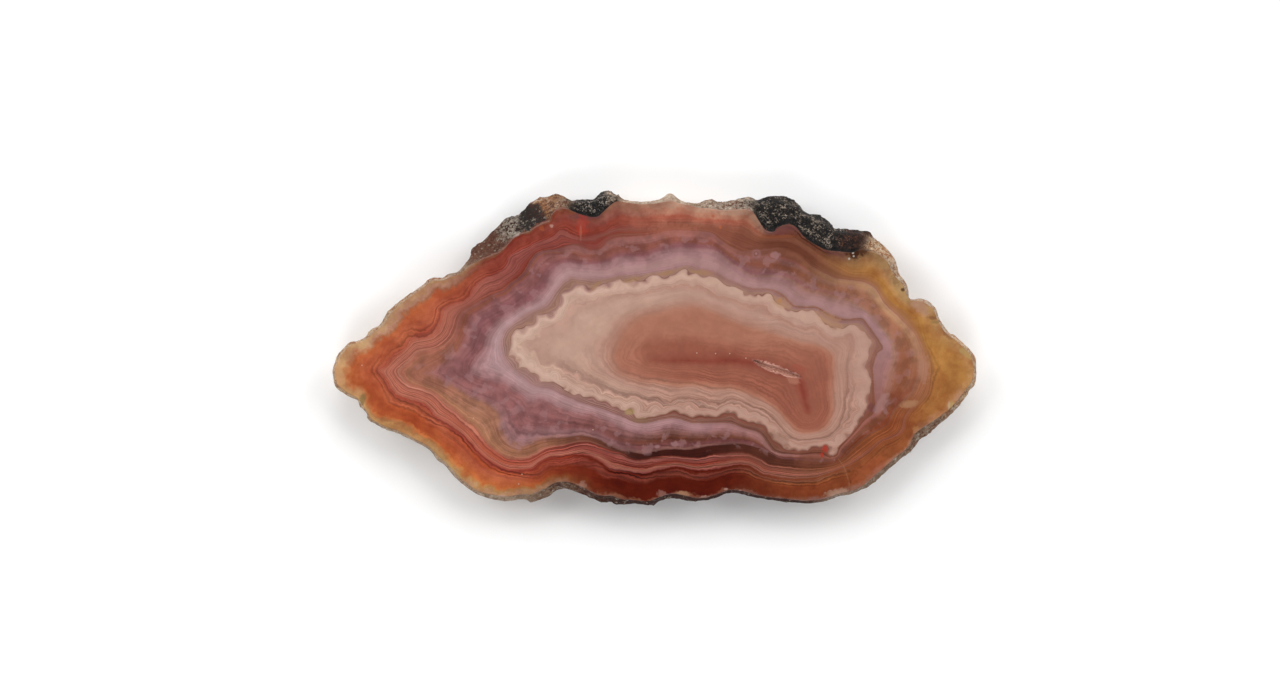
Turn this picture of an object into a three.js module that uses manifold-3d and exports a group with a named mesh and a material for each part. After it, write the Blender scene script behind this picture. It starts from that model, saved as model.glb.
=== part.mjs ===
// Agate slice: a slab sawn across an agate nodule, lying on its sawn back with
// the polished face up. The face is a flat plane with a natural outline. Round it
// runs the nodule's rough skin: a thin rind in most places, a broad sloping crust
// on the upper edge, and knobs of the basalt host rock that broke away with it.
// A narrow slit, the last of the hollow that the bands closed, opens in the face.
//
// Millimetres, +Z up, +X along the slice's length. The origin is under the middle
// of the slice, on the surface that it rests on.

import * as THREE from 'three';
import { mergeVertices } from 'three/addons/utils/BufferGeometryUtils.js';
import Module from 'manifold-3d';

// ---- driving dimensions ----------------------------------------------------

const THICKNESS = 7; // between the sawn back and the polished face
const STATIONS = 288; // points round the rim
const SIDE_RINGS = 4; // rings from the widest line down to the back
const SAW_STEP = 0.45; // how far the softer basalt is worn below the polish
const STEEPEST_DROP = 4.2; // how far the broad crust falls before the widest line
const UNDERCUT_TOP = 0.3; // how far the back edge lies inside the widest line
const UNDERCUT_FOOT = 1.5; // the same along the lower edge, which tucks under
const SIDE_ROUGH = 0.3; // extra roughness of the side, below the widest line
const POLISH_CLEARANCE = 0.12; // how far every lump stays below the polished plane
const THINNEST_RIND = 0.3;
const DROP_AT_EDGE = 0.55; // how far the thinnest rind falls
const DROP_PER_WIDTH = 0.85; // how much further for each millimetre of its width
const CRUST_CURVE = 0.8; // below 1 the crust falls fastest beside the polish
const LEDGE_STEP_END = 0.1; // fraction of the width where the worn step is complete
const LEDGE_ROUND = 0.72; // fraction where the ledge starts to round over
const LEDGE_DROP = 2.4; // how far the ledge has fallen at its outer edge
const UNDERCUT_CURVE = 1.6; // above 1 the side tucks under mostly near the back
const KNOT_STEPS = 12; // steps between two outline points before even spacing
const TURN_REACH = 4; // stations on each side that set the outward direction

// The rind's rings: fraction of its width from the polished edge, and how much of
// the skin's roughness shows there.
const RIND_RINGS = [[0, 0], [0.1, 0.35], [0.3, 1], [0.5, 1], [0.7, 1], [0.86, 0.9], [1, 0.5]];

// The skin's lumps, the grains on them, and where each pattern starts, in lattice
// cells. Lifting the skin uses the same pattern from another place.
const LUMP_SIZE = 2.6;
const GRAIN_SHARE = 0.35; // share of the roughness that is grain
const GRAIN_START = [9.3, -4.1];
const GRAIN_STRETCH = 1.3; // grains are this much finer down the side
const LIFT_START = [31, -17];
const LATTICE_TURNS = [127.1, 311.7, 74.7];
const LATTICE_GAIN = 43758.5453;

// Kinds of skin: how much of it is a sawn ledge, and how rough it is.
const THIN = { ledge: 0, rough: 0.16 };
const CRUST = { ledge: 0.15, rough: 0.42 };
const BASALT = { ledge: 1, rough: 0.4 };

// The slit: where it starts and ends on the face, and its widest half-width.
const SLIT_PATH = [[15.7, -2.0], [17.2, -2.9], [18.7, -3.4], [20.8, -4.0], [22.6, -4.5]];
const SLIT_HALF_WIDTH = 0.5;
const SLIT_DEPTH = 0.6;
const SLIT_STEPS = 24;
const SLIT_FULLNESS = 0.6; // below 1 the slit keeps its width nearly to its ends
const SLIT_END = 0.03; // share of the path that each blunt end takes
const SLIT_WAVER = 0.25; // how much its width wavers
const SLIT_WAVER_PITCH = 1.7; // wavers to a millimetre

const WELD = 1e-4; // points nearer than this are one point
const AGATE_COLOUR = 0xa9705c;

// ---- the outline -----------------------------------------------------------

// The widest line of the slice, clockwise from its left tip: x, y and the width of
// the rind between it and the polished face.
const RIM = [
  // left tip
  [THIN, [
    [-50.0, -3.9, 0.5], [-49.9, -3.0, 0.5], [-49.1, -1.0, 0.6], [-48.4, -0.2, 0.5], [-47.4, 0.8, 0.5],
    [-46.1, 1.1, 0.5],
  ]],
  // upper left flank
  [THIN, [
    [-44.7, 1.8, 0.5], [-44.0, 2.8, 0.6], [-42.6, 3.6, 0.6], [-41.2, 5.8, 0.6], [-39.1, 7.6, 0.5],
    [-36.0, 9.8, 0.5], [-34.7, 10.9, 0.5], [-32.8, 11.0, 0.6], [-31.9, 11.6, 0.6], [-30.5, 11.9, 0.6],
    [-29.1, 13.5, 0.8],
  ]],
  // broad grey crust of the shoulder
  [CRUST, [
    [-28.8, 14.1, 1.4], [-28.2, 15.4, 2.4], [-26.9, 16.6, 3.1], [-25.4, 18.0, 3.4], [-23.1, 20.2, 3.2],
    [-21.3, 20.6, 3.3],
  ]],
  // dark knob and the pale crust beside it
  [CRUST, [
    [-20.1, 21.8, 3.4], [-18.4, 23.2, 4.2], [-16.8, 23.6, 3.9], [-15.8, 24.0, 2.9], [-14.3, 23.8, 2.2],
    [-13.3, 23.1, 1.1],
  ]],
  // first basalt knob
  [BASALT, [
    [-12.6, 22.9, 1.3], [-11.9, 23.2, 2.6], [-9.7, 23.2, 3.0], [-8.8, 23.9, 3.4], [-8.1, 24.4, 3.5],
    [-6.9, 24.4, 2.6], [-6.3, 24.0, 1.2], [-5.5, 23.9, 0.8],
  ]],
  // upper edge
  [THIN, [
    [-5.0, 23.3, 0.5], [-3.2, 22.9, 0.5], [-1.0, 22.8, 0.5], [0.9, 23.2, 0.6], [2.5, 24.1, 1.4],
    [4.1, 23.0, 0.6], [5.5, 22.6, 0.3],
  ]],
  // beige crust
  [CRUST, [
    [6.7, 22.6, 0.8], [7.8, 23.0, 1.4], [8.9, 23.3, 1.9], [10.2, 22.9, 1.6], [11.9, 23.0, 1.6],
    [13.4, 23.4, 2.0], [15.0, 23.7, 2.3],
  ]],
  // large basalt knob and the one beside it
  [BASALT, [
    [16.0, 23.2, 3.5], [16.8, 23.4, 5.1], [18.1, 23.8, 6.0], [19.9, 23.6, 5.8], [21.2, 23.2, 5.0],
    [22.4, 22.4, 3.5], [23.2, 21.4, 2.5], [24.1, 20.9, 3.2], [25.2, 20.8, 4.3], [27.1, 19.9, 4.6],
    [28.1, 18.7, 3.8], [29.5, 18.6, 3.8], [31.9, 18.3, 3.7],
  ]],
  // cracked beige crust of the upper right
  [CRUST, [
    [33.5, 18.2, 3.3], [34.2, 17.3, 2.5], [36.4, 15.3, 1.6], [37.4, 13.9, 1.4], [37.8, 12.5, 1.2],
    [38.1, 11.5, 0.9], [39.1, 10.1, 0.6], [39.5, 8.7, 0.6], [39.9, 7.6, 0.5],
  ]],
  // right shoulder and tip
  [THIN, [
    [41.2, 7.7, 0.5], [42.6, 7.2, 0.5], [43.8, 6.0, 0.5], [44.3, 4.5, 0.5], [45.8, 2.3, 0.6],
    [46.6, 2.0, 0.6], [49.0, -0.3, 0.6], [49.8, -1.5, 0.6], [50.0, -2.8, 0.6], [50.0, -4.5, 0.6],
    [49.8, -5.8, 0.8],
  ]],
  // lower right
  [CRUST, [
    [49.0, -6.7, 0.8], [48.4, -7.8, 0.9], [46.4, -10.1, 0.9], [44.0, -12.3, 1.2], [42.7, -13.4, 1.6],
    [41.2, -14.4, 1.4], [40.7, -15.1, 1.2], [39.9, -16.2, 0.9], [38.2, -17.4, 0.9], [36.5, -18.9, 0.8],
    [33.6, -21.4, 0.8], [32.5, -22.1, 0.6],
  ]],
  // foot, from right to left
  [THIN, [
    [30.3, -22.9, 0.5], [28.8, -23.1, 0.5], [27.2, -23.7, 0.5], [24.7, -24.2, 0.5], [22.6, -24.2, 0.5],
    [17.1, -23.6, 0.5], [14.5, -23.1, 0.6], [13.3, -22.7, 0.6], [11.4, -22.7, 0.6], [10.0, -23.3, 0.6],
    [8.4, -23.7, 0.6], [6.6, -23.9, 0.5],
  ]],
  [CRUST, [
    [4.0, -23.6, 0.9], [2.1, -23.6, 0.9], [0.2, -24.1, 0.6], [-0.9, -24.5, 0.6], [-3.0, -24.3, 0.6],
    [-5.8, -24.5, 1.1], [-6.6, -24.1, 1.4], [-8.1, -24.2, 1.2], [-9.7, -23.5, 0.9], [-11.6, -22.7, 1.2],
    [-13.6, -22.0, 1.2], [-15.1, -22.2, 1.35], [-16.2, -23.2, 1.65],
  ]],
  // lower left lobe and flank
  [THIN, [
    [-17.6, -23.7, 1.5], [-19.1, -24.2, 1.3], [-20.2, -23.7, 1.0], [-22.9, -23.9, 0.8],
    [-24.7, -23.7, 0.8], [-27.1, -23.0, 0.6], [-29.1, -21.8, 0.6], [-30.9, -20.3, 0.6],
    [-32.6, -18.3, 0.6], [-33.7, -17.5, 0.5], [-34.8, -16.1, 0.5], [-36.4, -15.1, 0.5],
    [-39.8, -13.3, 0.5], [-41.3, -12.9, 0.5], [-43.2, -12.0, 0.5], [-44.5, -11.2, 0.5],
    [-44.7, -10.2, 0.5], [-45.7, -9.2, 0.5], [-46.1, -8.2, 0.5], [-47.4, -7.6, 0.5],
    [-49.4, -6.2, 0.5], [-49.8, -5.1, 0.5],
  ]],
];

// ---- rim stations ----------------------------------------------------------

const mix = THREE.MathUtils.lerp;
const ease = THREE.MathUtils.smoothstep;

// Catmull-Rom through four rows of numbers, value by value.
function between(a, b, c, d, t) {
  return b.map((_, i) => 0.5 * (2 * b[i] + (c[i] - a[i]) * t
    + (2 * a[i] - 5 * b[i] + 4 * c[i] - d[i]) * t * t
    + (3 * b[i] - a[i] - 3 * c[i] + d[i]) * t * t * t));
}

// The rim as evenly spaced stations: place, rind width, ledge, roughness and the
// outward direction, which is taken over a few stations so that it turns smoothly.
function rimStations() {
  const knots = RIM.flatMap(([skin, points]) => points.map((p) => [...p, skin.ledge, skin.rough]));
  const knot = (i) => knots[(i + knots.length) % knots.length];
  const fine = [];
  for (let i = 0; i < knots.length; i++) {
    for (let s = 0; s < KNOT_STEPS; s++) {
      fine.push(between(knot(i - 1), knot(i), knot(i + 1), knot(i + 2), s / KNOT_STEPS));
    }
  }
  fine.push(fine[0]);
  const run = [0];
  for (let i = 1; i < fine.length; i++) {
    run.push(run[i - 1] + Math.hypot(fine[i][0] - fine[i - 1][0], fine[i][1] - fine[i - 1][1]));
  }
  const stations = [];
  let at = 0;
  for (let s = 0; s < STATIONS; s++) {
    const target = (run.at(-1) * s) / STATIONS;
    while (run[at + 1] < target) at++;
    const t = (target - run[at]) / (run[at + 1] - run[at]);
    const [x, y, rind, ledge, rough] = fine[at].map((v, i) => mix(v, fine[at + 1][i], t));
    stations.push({
      x, y, rind: Math.max(rind, THINNEST_RIND), ledge: THREE.MathUtils.clamp(ledge, 0, 1), rough,
    });
  }
  stations.forEach((station, i) => {
    const back = stations[(i - TURN_REACH + STATIONS) % STATIONS];
    const ahead = stations[(i + TURN_REACH) % STATIONS];
    const length = Math.hypot(ahead.x - back.x, ahead.y - back.y);
    station.nx = -(ahead.y - back.y) / length;
    station.ny = (ahead.x - back.x) / length;
  });
  return stations;
}

// ---- rough skin ------------------------------------------------------------

// A repeatable number from -1 to 1 for each point of a whole-number lattice.
function latticeValue(i, j, k) {
  const [a, b, c] = LATTICE_TURNS;
  const s = Math.sin(i * a + j * b + k * c) * LATTICE_GAIN;
  return 2 * (s - Math.floor(s)) - 1;
}

// Smooth noise between the lattice's values, one lattice cell to a millimetre.
function noise(x, y, z) {
  const [i, j, k] = [Math.floor(x), Math.floor(y), Math.floor(z)];
  const [u, v, w] = [ease(x - i, 0, 1), ease(y - j, 0, 1), ease(z - k, 0, 1)];
  const row = (b, c) => mix(latticeValue(i, b, c), latticeValue(i + 1, b, c), u);
  const sheet = (c) => mix(row(j, c), row(j + 1, c), v);
  return mix(sheet(k), sheet(k + 1), w);
}

// Lumps about 3 mm across with grains about 1 mm across on them.
function lumps(x, y, z) {
  const lump = noise(x / LUMP_SIZE, y / LUMP_SIZE, z / LUMP_SIZE);
  const grain = noise(x + GRAIN_START[0], y + GRAIN_START[1], z * GRAIN_STRETCH);
  return mix(lump, grain, GRAIN_SHARE);
}

// Height of the rind at a fraction of its width: crust slopes away from the polish,
// basalt is a worn saw ledge that only rounds over at its outer edge.
function rindHeight(station, fraction) {
  const drop = Math.min(DROP_AT_EDGE + DROP_PER_WIDTH * station.rind, STEEPEST_DROP);
  const slope = drop * fraction ** CRUST_CURVE;
  const ledge = SAW_STEP * Math.min(1, fraction / LEDGE_STEP_END)
    + (Math.min(drop, LEDGE_DROP) - SAW_STEP) * ease(fraction, LEDGE_ROUND, 1);
  return THICKNESS - mix(slope, ledge, station.ledge);
}

// One ring of the rim, set in from the widest line and at a height, both worked out
// from the station. The skin's lumps push it in and out, and up and down.
function ring(stations, insetAt, heightAt, roughAt) {
  return stations.map((s) => {
    const inset = insetAt(s);
    const x = s.x - s.nx * inset;
    const y = s.y - s.ny * inset;
    const z = heightAt(s);
    const push = roughAt(s) * lumps(x, y, z);
    const lift = roughAt(s) * lumps(y + LIFT_START[0], x + LIFT_START[1], z);
    const ceiling = roughAt(s) > 0 ? THICKNESS - POLISH_CLEARANCE : z;
    return [x + s.nx * push, y + s.ny * push, Math.min(z + lift, ceiling)];
  });
}

// The slice's skin as rings from the polished edge, over the rind and down the side
// to the sawn back. The polished edge and the back edge are flat cuts.
function rimRings(stations) {
  const rings = RIND_RINGS.map(([fraction, share]) => ring(
    stations,
    (s) => s.rind * (1 - fraction),
    (s) => rindHeight(s, fraction),
    (s) => share * s.rough,
  ));
  for (let i = 1; i <= SIDE_RINGS; i++) {
    const down = i / SIDE_RINGS;
    const rough = i < SIDE_RINGS ? SIDE_ROUGH : 0;
    rings.push(ring(
      stations,
      (s) => rough / 2 + mix(UNDERCUT_TOP, UNDERCUT_FOOT, 0.5 - 0.5 * s.ny) * down ** UNDERCUT_CURVE,
      (s) => rindHeight(s, 1) * (1 - down),
      (s) => (i < SIDE_RINGS ? s.rough + rough : 0),
    ));
  }
  return rings;
}

// ---- solids ----------------------------------------------------------------

// A closed mesh from the rings: quads between neighbours, a flat cap on each end.
function slabGeometry(rings) {
  const positions = rings.flat(2);
  const index = [];
  const last = rings.length - 1;
  for (let r = 0; r < last; r++) {
    for (let s = 0; s < STATIONS; s++) {
      const a = r * STATIONS + s;
      const b = r * STATIONS + ((s + 1) % STATIONS);
      index.push(a, b, a + STATIONS, b, b + STATIONS, a + STATIONS);
    }
  }
  for (const [r, flip] of [[0, false], [last, true]]) {
    const outline = rings[r].map(([x, y]) => new THREE.Vector2(x, y));
    for (const [a, b, c] of THREE.ShapeUtils.triangulateShape(outline, [])) {
      index.push(...(flip ? [a, c, b] : [a, b, c]).map((i) => i + r * STATIONS));
    }
  }
  const geometry = new THREE.BufferGeometry();
  geometry.setAttribute('position', new THREE.Float32BufferAttribute(positions, 3));
  geometry.setIndex(index);
  return geometry;
}

// A prism along the slit's path, widest in its middle and pointed at its ends.
function slitGeometry() {
  const path = new THREE.CatmullRomCurve3(SLIT_PATH.map(([x, y]) => new THREE.Vector3(x, y, 0)));
  const sides = [[], []];
  for (let i = 0; i <= SLIT_STEPS; i++) {
    const t = i / SLIT_STEPS;
    const p = path.getPoint(t);
    const along = path.getTangent(t);
    const inner = THREE.MathUtils.clamp(t, SLIT_END, 1 - SLIT_END);
    const waver = 1 + SLIT_WAVER * noise(p.x * SLIT_WAVER_PITCH, p.y * SLIT_WAVER_PITCH, 0);
    const half = SLIT_HALF_WIDTH * Math.sin(Math.PI * inner) ** SLIT_FULLNESS * waver;
    sides[0].push(new THREE.Vector2(p.x - along.y * half, p.y + along.x * half));
    sides[1].push(new THREE.Vector2(p.x + along.y * half, p.y - along.x * half));
  }
  const shape = new THREE.Shape([...sides[0], ...sides[1].reverse()]);
  const prism = new THREE.ExtrudeGeometry(shape, { depth: SLIT_DEPTH + 1, bevelEnabled: false });
  return prism.translate(0, 0, THICKNESS - SLIT_DEPTH);
}

const wasm = await Module();
wasm.setup();

function toSolid(geometry) {
  const bare = new THREE.BufferGeometry();
  bare.setAttribute('position', geometry.getAttribute('position'));
  bare.setIndex(geometry.index);
  const merged = mergeVertices(bare, WELD);
  return new wasm.Manifold(new wasm.Mesh({
    numProp: 3,
    vertProperties: new Float32Array(merged.getAttribute('position').array),
    triVerts: new Uint32Array(merged.index.array),
  }));
}

function toGeometry(solid) {
  const mesh = solid.getMesh();
  const geometry = new THREE.BufferGeometry();
  geometry.setAttribute('position', new THREE.Float32BufferAttribute(mesh.vertProperties, 3));
  geometry.setIndex(Array.from(mesh.triVerts));
  geometry.computeVertexNormals();
  return geometry;
}

// Moves the mesh so that its box is centred over the origin and stands on z = 0.
function centred(geometry) {
  geometry.computeBoundingBox();
  const { min, max } = geometry.boundingBox;
  return geometry.translate(-(min.x + max.x) / 2, -(min.y + max.y) / 2, -min.z);
}

const slab = toSolid(slabGeometry(rimRings(rimStations())));
const slice = centred(toGeometry(slab.subtract(toSolid(slitGeometry()))));

const agate = new THREE.MeshStandardMaterial({ color: AGATE_COLOUR, roughness: 0.2, metalness: 0 });
const agateSlice = new THREE.Mesh(slice, agate);
agateSlice.name = 'agate_slice';

const group = new THREE.Group();
group.name = 'agate slice';
group.add(agateSlice);

export default group;
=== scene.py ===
"""Agate slice: the polished face, the rough skin round it, and the table it lies on.

The slice is one closed surface. Rays leave a point in the agate's core, run out over
the polished face, over the rind, down the side and back in under the sawn back. The
banding isn't drawn: each point of the stone knows its bed, a number that counts the
growth layers inwards from the rind, and every flank of the nodule has its own log of
which colour was laid down at which bed. Metres, +Z up, lying on z = 0.
"""

import logging
import math
from dataclasses import dataclass, field
from enum import Enum
from typing import Union

import bpy
import numpy as np
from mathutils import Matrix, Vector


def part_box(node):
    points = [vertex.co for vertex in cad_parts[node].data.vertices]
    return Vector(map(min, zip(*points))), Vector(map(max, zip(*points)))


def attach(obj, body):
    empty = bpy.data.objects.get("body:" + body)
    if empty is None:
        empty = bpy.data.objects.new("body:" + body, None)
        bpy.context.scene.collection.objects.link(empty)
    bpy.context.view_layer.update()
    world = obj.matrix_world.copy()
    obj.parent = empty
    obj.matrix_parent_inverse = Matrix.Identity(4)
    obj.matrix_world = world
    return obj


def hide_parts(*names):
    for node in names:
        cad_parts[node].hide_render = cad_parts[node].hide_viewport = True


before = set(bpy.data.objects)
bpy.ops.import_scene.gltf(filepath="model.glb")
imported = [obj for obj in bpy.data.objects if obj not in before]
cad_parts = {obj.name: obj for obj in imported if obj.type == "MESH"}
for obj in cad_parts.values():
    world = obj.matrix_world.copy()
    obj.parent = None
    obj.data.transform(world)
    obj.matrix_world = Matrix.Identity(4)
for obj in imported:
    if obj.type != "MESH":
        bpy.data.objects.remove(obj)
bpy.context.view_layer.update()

report = logging.getLogger("agate_slice")

MM = 0.001
LAMP_LIFT = 1.17  # how much brighter the lamps show a colour than it was mixed
LAMP_HAZE = 0.0065  # the light that the polish throws back on top of it
CORE_BED = 6.0  # where the core's logs take over from the flanks'
RIDGE_BED = 9.0  # the last bed, in the middle of the core
QUARTZ_IOR = 1.54
BACK_DEPTH = 3.0  # what the back's points bear as depth: 0 to 1 is the rind, 1 to 2 the side
BLACK = (0.0, 0.0, 0.0, 1.0)
BATCH = 4000  # points measured at a time, which bounds the memory
SEAT_LEAD = 3.0  # mm: how soon a flank's log gives way to a nearer one
SEAT_REACH = 12.0  # mm: how far from its seat a log still holds
Socket = bpy.types.NodeSocket
Feed = Union[float, int, tuple, Socket]
Points = tuple[tuple[float, ...], ...]


class Hue(Enum):
    """The stone's colours as the eye sees them, 0 to 255."""

    PALE_TAN = (199, 150, 108)
    APRICOT = (197, 131, 86)
    PEACH = (181, 136, 117)
    SALMON = (179, 122, 102)
    STRAW = (180, 138, 106)
    HONEY = (177, 127, 82)
    BUFF = (163, 124, 87)
    GOLD = (169, 114, 64)
    OCHRE = (160, 109, 72)
    AMBER = (162, 112, 86)
    BRONZE = (156, 107, 87)
    TAWNY = (150, 97, 76)
    ORANGE = (188, 101, 60)
    EMBER = (180, 94, 63)
    RED_ORANGE = (165, 77, 48)
    RUST = (167, 85, 63)
    BRICK = (160, 79, 63)
    TERRACOTTA = (172, 98, 80)
    ROSE_BRICK = (177, 107, 88)
    CLAY = (163, 97, 81)
    DUSK = (155, 95, 83)
    COCOA = (146, 90, 75)
    HAZEL = (139, 83, 67)
    UMBER = (132, 79, 70)
    RUSSET = (137, 76, 48)
    SIENNA = (124, 61, 39)
    CHESTNUT = (121, 74, 58)
    BARK = (101, 58, 45)
    SOOT = (60, 30, 26)
    MAROON = (110, 52, 43)
    CRIMSON = (143, 64, 54)
    BRICK_RED = (135, 62, 52)
    GARNET = (124, 52, 42)
    BLOOD = (122, 47, 32)
    OXBLOOD = (85, 29, 20)
    WINE = (130, 70, 64)
    ROSE_WINE = (147, 80, 73)
    MULBERRY = (147, 96, 90)
    MOUSE = (125, 85, 79)
    ROSE_PLUM = (143, 94, 93)
    PLUM = (131, 84, 86)
    DARK_PLUM = (110, 66, 66)
    HEATHER = (149, 108, 109)
    MAUVE = (164, 123, 124)
    LILAC = (176, 140, 142)
    ROSE_LILAC = (168, 130, 127)
    TAUPE = (157, 119, 113)
    FAWN = (156, 118, 103)
    STONE = (140, 102, 90)
    CREAM = (203, 169, 154)
    OAT = (192, 157, 141)
    BLUSH = (183, 144, 130)
    ROSE = (173, 131, 116)
    CORE_TAN = (168, 113, 93)
    CORE_BRICK = (150, 90, 74)
    CORE_DARK = (132, 64, 53)
    SAND = (208, 176, 142)
    HUSK = (186, 161, 140)
    BONE = (204, 182, 163)
    CHALK = (176, 166, 155)
    ASH = (150, 136, 122)
    DRAB = (150, 123, 101)
    LOAM = (104, 67, 51)
    EARTH = (64, 37, 28)
    SCARLET = (178, 52, 38)
    DRUSE = (212, 160, 144)
    SLATE = (46, 38, 34)
    PITCH = (20, 13, 10)
    MOSS = (124, 106, 68)
    LIME = (182, 160, 104)

    @property
    def paint(self) -> tuple[float, float, float, float]:
        """The colour to mix for a shader socket so that the lamps show this hue."""
        steps = (c / 255 for c in self.value)
        linear = [c / 12.92 if c <= 0.04045 else ((c + 0.055) / 1.055) ** 2.4 for c in steps]
        return (*(max(c - LAMP_HAZE, 0.001) / LAMP_LIFT for c in linear), 1.0)


H = Hue
Log = dict[float, Union[Hue, float]]

# ---- growth logs: which colour lies at which bed, counted inwards from the rind ----

LEFT_END: Log = {3.6: H.PLUM, 3.82: H.PLUM, 4.0: H.HEATHER, 4.18: H.MAUVE, 4.4: H.LILAC,
                 4.82: H.LILAC, 5.0: H.ROSE_LILAC, 5.4: H.TAUPE, 5.85: H.FAWN, 6.0: H.ROSE, 6.1: H.OAT}
LOWER_END: Log = {3.85: H.ROSE_PLUM, 4.0: H.HEATHER, 4.18: H.MAUVE, 4.4: H.LILAC, 4.85: H.LILAC,
                  5.0: H.ROSE_LILAC, 5.8: H.TAUPE, 6.0: H.OAT}
ROOF_END: Log = {3.7: H.PLUM, 4.0: H.HEATHER, 4.35: H.MAUVE, 4.6: H.ROSE_LILAC, 4.8: H.ROSE_LILAC,
                 4.97: H.MAUVE, 5.2: H.TAUPE, 5.5: H.FAWN, 5.8: H.FAWN, 6.0: H.TAUPE, 6.1: H.BLUSH}


@dataclass(frozen=True)
class Flank:
    """One side of the nodule's wall with its own order of coloured layers.

    The seat is the line where the log holds best; away from it the log fades into
    its neighbours'. The core names the part of the centre that it grew into.
    """

    name: str
    core: str
    crisp: tuple[float, float]  # how strongly the finest layers show, outside the core and in it
    seat: Points
    log: Log


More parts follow.
